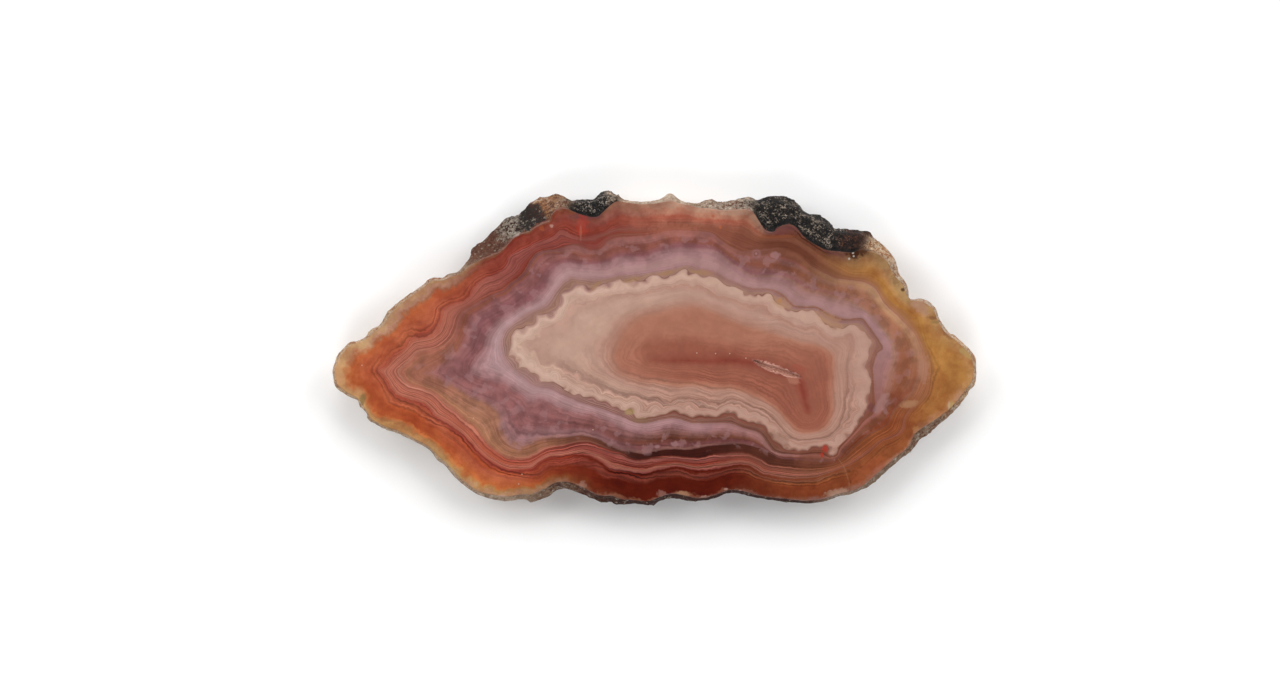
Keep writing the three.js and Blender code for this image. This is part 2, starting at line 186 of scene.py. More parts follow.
FLANKS = (
    Flank("tip", "left", (1, 0.05), ((-49.1, -3.6), (-40.2, -3.6)), {
        0: H.PALE_TAN, 0.1: H.PALE_TAN, 0.2: H.APRICOT, 0.38: H.ORANGE, 0.58: H.EMBER, 0.8: H.EMBER,
        0.9: H.RUST, 0.97: H.BRICK, 1.02: H.RUST, 1.1: H.TERRACOTTA, 1.2: H.ROSE_BRICK, 1.4: H.ROSE_BRICK,
        1.7: H.CLAY, 1.94: H.CLAY, 2.05: H.SALMON, 2.12: H.ROSE_BRICK, 2.35: H.TAWNY, 2.6: H.COCOA,
        3.0: H.COCOA, 3.1: H.ROSE_PLUM, 3.4: H.ROSE_PLUM, **LEFT_END}),
    Flank("upper_flank", "left", (0.8, 0.05), ((-43.8, 0.4), (-38.7, 5.1), (-31.7, 9.0)), {
        0: H.STRAW, 0.1: H.STRAW, 0.2: H.PEACH, 0.3: H.AMBER, 0.4: H.EMBER, 0.62: H.RUST, 0.8: H.RUST,
        0.91: H.BRICK, 1.0: H.CLAY, 1.05: H.TERRACOTTA, 1.15: H.CLAY, 1.4: H.CLAY, 1.8: H.DUSK, 1.95: H.COCOA,
        2.1: H.DUSK, 2.3: H.DUSK, 2.6: H.HAZEL, 2.9: H.UMBER, 3.02: H.UMBER, 3.15: H.ROSE_PLUM, 3.4: H.PLUM,
        **LEFT_END}),
    Flank("shoulder", "crown", (0.9, 0.15), ((-27.4, 12.4), (-21.6, 16.0), (-15.3, 19.5)), {
        0: H.CHESTNUT, 0.12: H.GARNET, 0.3: H.BRICK_RED, 0.75: H.BRICK_RED, 0.87: H.CRIMSON,
        0.96: H.ROSE_WINE, 1.15: H.ROSE_WINE, 1.3: H.WINE, 1.5: H.ROSE_WINE, 1.6: H.WINE, 1.95: H.GARNET,
        2.02: H.CHESTNUT, 2.1: H.DARK_PLUM, 2.5: H.DARK_PLUM, 2.7: H.CHESTNUT, 2.95: H.UMBER, 3.05: H.PLUM,
        3.2: H.ROSE_PLUM, 3.45: H.PLUM, 3.85: H.PLUM, 4.0: H.HEATHER, 4.35: H.MAUVE, 4.6: H.LILAC,
        4.85: H.LILAC, 5.0: H.ROSE_LILAC, 5.2: H.TAUPE, 5.5: H.STONE, 5.8: H.FAWN, 6.0: H.TAUPE, 6.1: H.BLUSH}),
    Flank("roof_left", "crown", (0.7, 0.2), ((-11.9, 18.0), (-8.4, 18.3), (-4.1, 19.5)), {
        0: H.CHESTNUT, 0.15: H.CHESTNUT, 0.3: H.UMBER, 0.42: H.WINE, 0.6: H.BRICK_RED, 0.85: H.BRICK_RED,
        0.97: H.WINE, 1.08: H.UMBER, 1.25: H.WINE, 1.5: H.GARNET, 1.7: H.WINE, 1.95: H.WINE, 2.08: H.UMBER,
        2.3: H.MULBERRY, 2.65: H.MULBERRY, 2.9: H.UMBER, 3.4: H.UMBER, **ROOF_END}),
    Flank("roof", "roof", (0.35, 0.2), ((0.1, 19.5), (7.1, 19.8), (12.9, 19.2)), {
        0: H.PEACH, 0.15: H.PEACH, 0.28: H.SALMON, 0.42: H.SALMON, 0.55: H.TERRACOTTA, 0.76: H.CLAY,
        0.88: H.COCOA, 1.02: H.HAZEL, 1.65: H.HAZEL, 1.78: H.COCOA, 1.98: H.HAZEL, 2.1: H.MULBERRY,
        2.6: H.MULBERRY, 2.8: H.UMBER, 3.2: H.UMBER, 3.45: H.PLUM, **ROOF_END}),
    Flank("knobs", "roof", (0.3, 0.35), ((17.1, 17.0), (22.6, 16.7), (28.4, 13.9)), {
        0: H.BARK, 0.12: H.SOOT, 0.3: H.BARK, 0.6: H.BARK, 0.8: H.CHESTNUT, 1.1: H.CHESTNUT, 1.4: H.BARK,
        1.95: H.BARK, 2.1: H.CHESTNUT, 2.5: H.CHESTNUT, 2.6: H.UMBER, 2.75: H.MOUSE, 3.1: H.CHESTNUT,
        3.3: H.CHESTNUT, 3.6: H.MOUSE, 3.8: H.PLUM, 4.0: H.STONE, 4.2: H.HEATHER, 4.45: H.TAUPE, 4.7: H.MAUVE,
        4.9: H.TAUPE, 4.98: H.STONE, 5.06: H.COCOA, 5.2: H.STONE, 5.45: H.HEATHER, 5.7: H.FAWN, 5.9: H.FAWN,
        6.02: H.ROSE}),
    Flank("gold_shoulder", "right", (0.35, 0.4), ((33.1, 12.4), (36.5, 9.0), (40.4, 5.1)), {
        0: H.BUFF, 0.3: H.BUFF, 0.5: H.HONEY, 0.7: H.GOLD, 0.9: H.GOLD, 1.1: H.OCHRE, 1.4: H.OCHRE,
        1.65: H.AMBER, 1.95: H.AMBER, 2.03: H.PEACH, 2.15: H.STRAW, 2.5: H.STRAW, 2.9: H.AMBER, 3.3: H.BRONZE,
        4.0: H.BRONZE, 4.2: H.FAWN, 4.45: H.MAUVE, 4.7: H.ROSE_LILAC, 4.88: H.MAUVE, 4.96: H.TAUPE,
        5.03: H.UMBER, 5.15: H.STONE, 5.4: H.HEATHER, 5.65: H.FAWN, 5.85: H.FAWN, 6.0: H.ROSE}),
    Flank("gold_tip", "right", (0.3, 0.5), ((42.7, 2.0), (45.8, -2.7), (44.0, -6.2)), {
        0: H.HONEY, 0.1: H.HONEY, 0.3: H.GOLD, 0.85: H.GOLD, 1.0: H.OCHRE, 1.3: H.OCHRE, 1.6: H.AMBER,
        2.1: H.AMBER, 2.3: H.BRONZE, 2.6: H.TAWNY, 3.6: H.TAWNY, 3.9: H.BRONZE, 4.2: H.FAWN, 4.5: H.MAUVE,
        4.85: H.MAUVE, 4.97: H.TAUPE, 5.1: H.STONE, 5.25: H.TAWNY, 5.45: H.BRONZE, 5.8: H.FAWN, 6.0: H.ROSE}),
    Flank("corner", "floor", (0.8, 0.5), ((40.4, -9.3), (37.0, -13.0), (31.9, -18.2)), {
        0: H.BRONZE, 0.12: H.TAWNY, 0.25: H.RUSSET, 1.05: H.RUSSET, 1.15: H.HAZEL, 1.4: H.RUSSET,
        2.1: H.RUSSET, 2.35: H.CHESTNUT, 2.5: H.SIENNA, 2.9: H.CHESTNUT, 3.8: H.CHESTNUT, 4.0: H.UMBER,
        4.3: H.COCOA, 4.9: H.MULBERRY, 5.1: H.HAZEL, 5.2: H.CHESTNUT, 5.4: H.CHESTNUT, 5.9: H.UMBER,
        6.05: H.STONE}),
    Flank("foot_right", "floor", (1.2, 0.7), ((27.5, -20.8), (22.6, -21.3), (18.7, -21.1)), {
        0: H.MOUSE, 0.1: H.CHESTNUT, 0.22: H.SIENNA, 0.66: H.SIENNA, 0.78: H.RUSSET, 0.92: H.CHESTNUT,
        1.0: H.SIENNA, 1.1: H.CHESTNUT, 1.3: H.COCOA, 1.45: H.COCOA, 1.6: H.CHESTNUT, 1.85: H.CHESTNUT,
        1.95: H.BARK, 2.75: H.BARK, 3.1: H.DARK_PLUM, 3.4: H.DARK_PLUM, 3.6: H.CHESTNUT, 3.85: H.UMBER,
        4.0: H.COCOA, 4.15: H.UMBER, 4.4: H.COCOA, 4.8: H.UMBER, 5.0: H.BARK, 5.15: H.SOOT, 5.3: H.BARK,
        5.7: H.CHESTNUT, 5.9: H.UMBER, 6.05: H.STONE}),
    Flank("foot", "floor", (1.6, 1.3), ((14.0, -20.2), (5.5, -20.5), (-2.2, -21.1), (-8.4, -20.2)), {
        0: H.CHESTNUT, 0.12: H.OXBLOOD, 0.62: H.OXBLOOD, 0.76: H.MAROON, 0.88: H.MAROON, 0.96: H.OXBLOOD,
        1.02: H.OXBLOOD, 1.1: H.WINE, 1.26: H.COCOA, 1.44: H.GARNET, 1.54: H.MAROON, 1.72: H.WINE,
        1.84: H.UMBER, 1.92: H.MAROON, 2.04: H.SOOT, 2.9: H.SOOT, 3.06: H.MOUSE, 3.2: H.DARK_PLUM,
        3.5: H.BARK, 3.75: H.MOUSE, 4.0: H.HEATHER, 4.3: H.MAUVE, 4.75: H.MAUVE, 4.9: H.TAUPE, 4.98: H.UMBER,
        5.06: H.STONE, 5.25: H.UMBER, 5.35: H.STONE, 5.8: H.UMBER, 5.93: H.BARK, 6.0: H.STONE}),
    Flank("foot_left", "left", (1.5, 0.25), ((-13.1, -18.9), (-16.2, -19.6)), {
        0: H.CHESTNUT, 0.2: H.SIENNA, 0.4: H.BLOOD, 0.62: H.BLOOD, 0.72: H.BRICK_RED, 0.88: H.CRIMSON,
        0.96: H.BLOOD, 1.1: H.CRIMSON, 1.22: H.CLAY, 1.4: H.DUSK, 1.52: H.ROSE_WINE, 1.7: H.BRICK_RED,
        1.85: H.WINE, 1.98: H.CRIMSON, 2.08: H.DUSK, 2.25: H.COCOA, 2.5: H.CHESTNUT, 2.85: H.CHESTNUT,
        2.98: H.MOUSE, 3.08: H.HEATHER, 3.25: H.HEATHER, 3.4: H.PLUM, 3.75: H.PLUM, 3.9: H.ROSE_PLUM,
        4.1: H.MAUVE, 4.4: H.ROSE_LILAC, 4.65: H.LILAC, 4.85: H.ROSE_LILAC, 4.98: H.HEATHER, 5.2: H.TAUPE,
        5.8: H.TAUPE, 6.0: H.ROSE}),
    Flank("lobe", "left", (1.2, 0.1), ((-20.1, -20.8), (-24.7, -19.7), (-29.4, -16.6)), {
        0: H.STRAW, 0.08: H.STRAW, 0.16: H.HONEY, 0.3: H.ORANGE, 0.5: H.EMBER, 0.7: H.RUST,
        0.86: H.RED_ORANGE, 0.94: H.CRIMSON, 1.02: H.CRIMSON, 1.1: H.BRICK, 1.22: H.TERRACOTTA,
        1.4: H.TERRACOTTA, 1.65: H.RUST, 1.9: H.BRICK, 2.0: H.BRICK, 2.08: H.TERRACOTTA, 2.25: H.AMBER,
        2.5: H.AMBER, 2.8: H.BRONZE, 3.0: H.BRONZE, 3.12: H.HEATHER, 3.4: H.ROSE_PLUM, **LOWER_END}),
    Flank("lower_flank", "left", (1.1, 0.05), ((-34.0, -12.4), (-39.5, -9.9), (-43.3, -7.3)), {
        0: H.HONEY, 0.06: H.HONEY, 0.16: H.OCHRE, 0.25: H.ORANGE, 0.32: H.RED_ORANGE, 0.65: H.RED_ORANGE,
        0.78: H.RUST, 0.9: H.RUST, 0.98: H.CRIMSON, 1.03: H.BRICK, 1.1: H.CLAY, 1.24: H.TERRACOTTA,
        1.36: H.ROSE_BRICK, 1.52: H.TERRACOTTA, 1.7: H.CLAY, 1.96: H.CLAY, 2.06: H.SALMON, 2.15: H.ROSE_BRICK,
        2.3: H.AMBER, 2.5: H.BRONZE, 3.05: H.BRONZE, 3.2: H.ROSE_PLUM, **LOWER_END}),
)

# ---- the core: one log for each part of the centre, from the dark line inwards ----

CORES: dict[str, Log] = {
    "left": {6.0: H.OAT, 6.06: H.OAT, 6.2: H.CREAM, 6.55: H.CREAM, 6.9: H.OAT, 7.0: H.OAT, 7.05: H.BLUSH,
             7.3: H.OAT, 7.6: H.BLUSH, 7.9: H.ROSE, 8.2: H.SALMON, 8.6: H.CORE_TAN, 9.0: H.CORE_TAN},
    "roof": {6.0: H.BLUSH, 6.06: H.BLUSH, 6.2: H.OAT, 6.5: H.OAT, 6.85: H.BLUSH, 7.0: H.BLUSH, 7.06: H.ROSE,
             7.3: H.BLUSH, 7.6: H.ROSE, 7.9: H.CORE_TAN, 8.4: H.CORE_TAN, 8.7: H.CORE_BRICK, 9.0: H.CORE_DARK},
    "right": {6.0: H.BLUSH, 6.85: H.BLUSH, 7.0: H.ROSE, 7.6: H.ROSE, 7.9: H.CORE_TAN, 8.1: H.CORE_BRICK,
              8.6: H.CORE_BRICK, 9.0: H.CORE_DARK},
    "crown": {6.0: H.TAUPE, 6.1: H.TAUPE, 6.25: H.BLUSH, 6.4: H.CREAM, 6.6: H.CREAM, 6.9: H.OAT, 7.0: H.OAT,
              7.05: H.BLUSH, 7.3: H.OAT, 7.6: H.OAT, 7.9: H.ROSE, 8.1: H.CORE_TAN, 8.4: H.CORE_TAN,
              8.7: H.CORE_BRICK, 9.0: H.CORE_BRICK},
    "floor": {6.0: H.STONE, 6.1: H.STONE, 6.22: H.ROSE, 6.4: H.BLUSH, 6.6: H.BLUSH, 6.85: H.ROSE, 7.0: H.ROSE,
              7.03: H.BLUSH, 7.1: H.ROSE, 7.16: H.STONE, 7.3: H.ROSE, 7.6: H.ROSE, 7.85: H.CORE_TAN,
              8.1: H.CORE_BRICK, 8.75: H.CORE_BRICK, 9.0: H.CORE_DARK},
}


# ---- the nodule: rim, growth layers, slit ----


class Skin(Enum):
    """Kinds of rind: how much of it is a sawn ledge, and how rough it is in mm."""

    THIN = (0.0, 0.16)
    CRUST = (0.15, 0.42)
    BASALT = (1.0, 0.4)


def between(knots: np.ndarray, steps: int, closed: bool = True) -> np.ndarray:
    """Carries a smooth curve through knots.

    Each span is the Catmull-Rom cubic of its four nearest knots, so the curve passes
    through every knot with the slope of the chord between that knot's neighbours.

    Args:
        knots: one row for each knot, all of its columns are carried along.
        steps: points from one knot to the next.
        closed: whether the last knot joins the first.

    Returns:
        The curve's rows; an open curve ends with the last knot.
    """
    if closed:
        a, b, c, d = (np.roll(knots, shift, 0) for shift in (1, 0, -1, -2))
    else:
        ends = np.vstack([2 * knots[0] - knots[1], knots, 2 * knots[-1] - knots[-2]])
        a, b, c, d = ends[:-3], ends[1:-2], ends[2:-1], ends[3:]
    a, b, c, d = (v[:, None, :] for v in (a, b, c, d))
    t = (np.arange(steps) / steps)[None, :, None]
    rows = 0.5 * (2 * b + (c - a) * t + (2 * a - 5 * b + 4 * c - d) * t**2
                  + (3 * b - a - 3 * c + d) * t**3)
    rows = rows.reshape(-1, knots.shape[1])
    return rows if closed else np.vstack([rows, knots[-1]])


def calmed(ring: np.ndarray, rounds: int) -> np.ndarray:
    """Calms a closed ring: each value moves halfway to its neighbours' mean, again and again."""
    for _ in range(rounds):
        ring = 0.5 * ring + 0.25 * (np.roll(ring, 1, 0) + np.roll(ring, -1, 0))
    return ring


def ease(value: np.ndarray, low: float, high: float) -> np.ndarray:
    """Climbs from 0 at low to 1 at high along 3t^2 - 2t^3."""
    t = np.clip((value - low) / (high - low), 0.0, 1.0)
    return t * t * (3 - 2 * t)


def noise(place: np.ndarray) -> np.ndarray:
    """Smooth noise from -1 to 1, one cell to a unit.

    Each corner of a unit lattice holds a number taken from the sine of its address;
    a point blends its cell's eight corners with eased weights.

    Args:
        place: points, three columns.

    Returns:
        One number for each point.
    """
    cell = np.floor(place)
    t = place - cell
    u, v, w = (t * t * (3 - 2 * t)).T

    def corner(i: int, j: int, k: int) -> np.ndarray:
        """The lattice's number at the cell's corner i, j, k."""
        at = cell + (i, j, k)
        s = np.sin(at[:, 0] * 127.1 + at[:, 1] * 311.7 + at[:, 2] * 74.7) * 43758.5453
        return 2 * (s - np.floor(s)) - 1

    def row(j: int, k: int) -> np.ndarray:
        """Blend along x of the two corners at j, k."""
        return corner(0, j, k) + (corner(1, j, k) - corner(0, j, k)) * u

    near, far = (row(0, k) + (row(1, k) - row(0, k)) * v for k in (0, 1))
    return near + (far - near) * w


def lumps(place: np.ndarray) -> np.ndarray:
    """Lumps about 3 mm across with grains about 1 mm across on them, from -1 to 1."""
    grains = place * (1, 1, 1.3) + (9.3, -4.1, 0)
    return 0.65 * noise(place / 2.6) + 0.35 * noise(grains)


def gap_to(points: np.ndarray, line: np.ndarray, closed: bool = True) -> np.ndarray:
    """Shortest distance from each point to a line of straight spans.

    The foot of the perpendicular on each span is held within the span, and the
    nearest of the feet counts.

    Args:
        points: two columns.
        line: the line's corners, two columns.
        closed: whether the last corner joins the first.

    Returns:
        One distance for each point.
    """
    start = line if closed else line[:-1]
    span = (np.roll(line, -1, 0) if closed else line[1:]) - start
    size = np.maximum((span**2).sum(1), 1e-12)
    gaps = np.empty(len(points), np.float32)
    for first in range(0, len(points), BATCH):
        some = points[first:first + BATCH, None, :] - start[None]
        along = np.clip((some * span).sum(2) / size, 0, 1)
        feet = some - along[:, :, None] * span
        gaps[first:first + BATCH] = np.sqrt((feet**2).sum(2).min(1))
    return gaps


def inside(points: np.ndarray, loop: np.ndarray) -> np.ndarray:
    """Whether each point lies inside a loop: a ray to the right crosses it oddly often."""
    x0, y0 = loop.T
    x1, y1 = np.roll(loop, -1, 0).T
    rise = np.where(np.abs(y1 - y0) < 1e-9, 1e-9, y1 - y0)
    within = np.empty(len(points), bool)
    for first in range(0, len(points), BATCH):
        x, y = points[first:first + BATCH, :, None].transpose(1, 0, 2)
        straddles = (y0 > y) != (y1 > y)
        within[first:first + BATCH] = (straddles & (x < x0 + (y - y0) * (x1 - x0) / rise)).sum(1) % 2 == 1
    return within


@dataclass(frozen=True)
class Stations:
    """Evenly spaced points along the slice's widest line, in mm."""

    place: np.ndarray  # x, y
    outward: np.ndarray  # unit direction away from the stone
    rind: np.ndarray  # width of the rind between here and the polish
    ledge: np.ndarray  # 1 where the rind is sawn basalt
    rough: np.ndarray  # how rough the skin is


# The rim, clockwise from the left tip: kinds of skin, with knots of x, y and rind width in mm.
STRETCHES: tuple[tuple[Skin, Points], ...] = (
    (Skin.THIN, (
        (-50.0, -3.9, 0.5), (-49.9, -3.0, 0.5), (-49.1, -1.0, 0.6), (-48.4, -0.2, 0.5), (-47.4, 0.8, 0.5),
        (-46.1, 1.1, 0.5), (-44.7, 1.8, 0.5), (-44.0, 2.8, 0.6), (-42.6, 3.6, 0.6), (-41.2, 5.8, 0.6),
        (-39.1, 7.6, 0.5), (-36.0, 9.8, 0.5), (-34.7, 10.9, 0.5), (-32.8, 11.0, 0.6), (-31.9, 11.6, 0.6),
        (-30.5, 11.9, 0.6), (-29.1, 13.5, 0.8))),
    (Skin.CRUST, (
        (-28.8, 14.1, 1.4), (-28.2, 15.4, 2.4), (-26.9, 16.6, 3.1), (-25.4, 18.0, 3.4), (-23.1, 20.2, 3.2),
        (-21.3, 20.6, 3.3), (-20.1, 21.8, 3.4), (-18.4, 23.2, 4.2), (-16.8, 23.6, 3.9), (-15.8, 24.0, 2.9),
        (-14.3, 23.8, 2.2), (-13.3, 23.1, 1.1))),
    (Skin.BASALT, (
        (-12.6, 22.9, 1.3), (-11.9, 23.2, 2.6), (-9.7, 23.2, 3.0), (-8.8, 23.9, 3.4), (-8.1, 24.4, 3.5),
        (-6.9, 24.4, 2.6), (-6.3, 24.0, 1.2), (-5.5, 23.9, 0.8))),
    (Skin.THIN, (
        (-5.0, 23.3, 0.5), (-3.2, 22.9, 0.5), (-1.0, 22.8, 0.5), (0.9, 23.2, 0.6), (2.5, 24.1, 1.4),
        (4.1, 23.0, 0.6), (5.5, 22.6, 0.3))),
    (Skin.CRUST, (
        (6.7, 22.6, 0.8), (7.8, 23.0, 1.4), (8.9, 23.3, 1.9), (10.2, 22.9, 1.6), (11.9, 23.0, 1.6),
        (13.4, 23.4, 2.0), (15.0, 23.7, 2.3))),
    (Skin.BASALT, (
        (16.0, 23.2, 3.5), (16.8, 23.4, 5.1), (18.1, 23.8, 6.0), (19.9, 23.6, 5.8), (21.2, 23.2, 5.0),
        (22.4, 22.4, 3.5), (23.2, 21.4, 2.5), (24.1, 20.9, 3.2), (25.2, 20.8, 4.3), (27.1, 19.9, 4.6),
        (28.1, 18.7, 3.8), (29.5, 18.6, 3.8), (31.9, 18.3, 3.7))),
    (Skin.CRUST, (
        (33.5, 18.2, 3.3), (34.2, 17.3, 2.5), (36.4, 15.3, 1.6), (37.4, 13.9, 1.4), (37.8, 12.5, 1.2),
        (38.1, 11.5, 0.9), (39.1, 10.1, 0.6), (39.5, 8.7, 0.6), (39.9, 7.6, 0.5))),
    (Skin.THIN, (
        (41.2, 7.7, 0.5), (42.6, 7.2, 0.5), (43.8, 6.0, 0.5), (44.3, 4.5, 0.5), (45.8, 2.3, 0.6),
        (46.6, 2.0, 0.6), (49.0, -0.3, 0.6), (49.8, -1.5, 0.6), (50.0, -2.8, 0.6), (50.0, -4.5, 0.6),
        (49.8, -5.8, 0.8))),
    (Skin.CRUST, (
        (49.0, -6.7, 0.8), (48.4, -7.8, 0.9), (46.4, -10.1, 0.9), (44.0, -12.3, 1.2), (42.7, -13.4, 1.6),
        (41.2, -14.4, 1.4), (40.7, -15.1, 1.2), (39.9, -16.2, 0.9), (38.2, -17.4, 0.9), (36.5, -18.9, 0.8),
        (33.6, -21.4, 0.8), (32.5, -22.1, 0.6))),
    (Skin.THIN, (
        (30.3, -22.9, 0.5), (28.8, -23.1, 0.5), (27.2, -23.7, 0.5), (24.7, -24.2, 0.5), (22.6, -24.2, 0.5),
        (17.1, -23.6, 0.5), (14.5, -23.1, 0.6), (13.3, -22.7, 0.6), (11.4, -22.7, 0.6), (10.0, -23.3, 0.6),
        (8.4, -23.7, 0.6), (6.6, -23.9, 0.5))),
    (Skin.CRUST, (
        (4.0, -23.6, 0.9), (2.1, -23.6, 0.9), (0.2, -24.1, 0.6), (-0.9, -24.5, 0.6), (-3.0, -24.3, 0.6),
        (-5.8, -24.5, 1.1), (-6.6, -24.1, 1.4), (-8.1, -24.2, 1.2), (-9.7, -23.5, 0.9), (-11.6, -22.7, 1.2),
        (-13.6, -22.0, 1.2), (-15.1, -22.2, 1.35), (-16.2, -23.2, 1.65))),
    (Skin.THIN, (
        (-17.6, -23.7, 1.5), (-19.1, -24.2, 1.3), (-20.2, -23.7, 1.0), (-22.9, -23.9, 0.8), (-24.7, -23.7, 0.8),
        (-27.1, -23.0, 0.6), (-29.1, -21.8, 0.6), (-30.9, -20.3, 0.6), (-32.6, -18.3, 0.6), (-33.7, -17.5, 0.5),
        (-34.8, -16.1, 0.5), (-36.4, -15.1, 0.5), (-39.8, -13.3, 0.5), (-41.3, -12.9, 0.5), (-43.2, -12.0, 0.5),
        (-44.5, -11.2, 0.5), (-44.7, -10.2, 0.5), (-45.7, -9.2, 0.5), (-46.1, -8.2, 0.5), (-47.4, -7.6, 0.5),
        (-49.4, -6.2, 0.5), (-49.8, -5.1, 0.5))),
)


@dataclass(frozen=True)
class Rim:
    """The slice's outline: stretches of skin, each with knots of x, y and rind width."""

    stretches: tuple[tuple[Skin, Points], ...] = STRETCHES
    turn_reach: float = 1 / 72  # share of the rim on each side that sets the outward direction
    knot_steps: int = 12  # points from one knot to the next
    least_rind: float = 0.3
    rind_calming: int = 6

    def stations(self, count: int) -> Stations:
        """Spaces stations evenly along the curve through the knots.

        Args:
            count: how many stations go round the slice.

        Returns:
            The stations, clockwise from the left tip.
        """
        knots = np.array([(*knot, *skin.value) for skin, row in self.stretches for knot in row])
        curve = between(knots, self.knot_steps)
        curve = np.vstack([curve, curve[0]])
        run = np.r_[0, np.cumsum(np.hypot(*np.diff(curve[:, :2], axis=0).T))]
        even = np.arange(count) / count * run[-1]
        x, y, rind, ledge, rough = (np.interp(even, run, column) for column in curve.T)
        place = np.column_stack([x, y])
        reach = round(self.turn_reach * count)
        chord = np.roll(place, -reach, 0) - np.roll(place, reach, 0)
        chord /= np.hypot(*chord.T)[:, None]
        outward = np.column_stack([-chord[:, 1], chord[:, 0]])
        rind = calmed(np.maximum(rind, self.least_rind), self.rind_calming)
        return Stations(place, outward, rind, np.clip(ledge, 0, 1), rough)


@dataclass(frozen=True)
class Growth:
    """The growth layers: nested loops on the face, each the edge of a group of beds.

    A point's bed is the number of loops round it, plus how far it has come from the
    last loop towards the next one: its distance to the last, divided by the sum of
    its distances to both. The polished edge is loop 0 and the ridge ends the count.
    """

    loops: dict[str, Points]
    ridge: Points
    knot_steps: int = 3

    def beds(self, points: np.ndarray, edge: np.ndarray) -> np.ndarray:
        """The bed at each point of the face.

        Args:
            points: x, y in mm.
            edge: the polished edge.

        Returns:
            Beds from 0 at the polished edge to 9 on the ridge, below 0 outside.
        """
        lines = [edge] + [between(np.array(loop), self.knot_steps) for loop in self.loops.values()]
        depth = np.full(len(points), -1)
        for line in lines:
            depth += inside(points, line)
        lines.append(between(np.array(self.ridge), self.knot_steps, closed=False))
        bed = np.zeros(len(points))
        for k in range(len(lines) - 1):
            here = depth == k
            past = gap_to(points[here], lines[k])
            ahead = gap_to(points[here], lines[k + 1], closed=k + 2 < len(lines))
            bed[here] = k + past / (past + ahead + 1e-6)
        outer = depth < 0
        bed[outer] = -gap_to(points[outer], edge)
        return bed


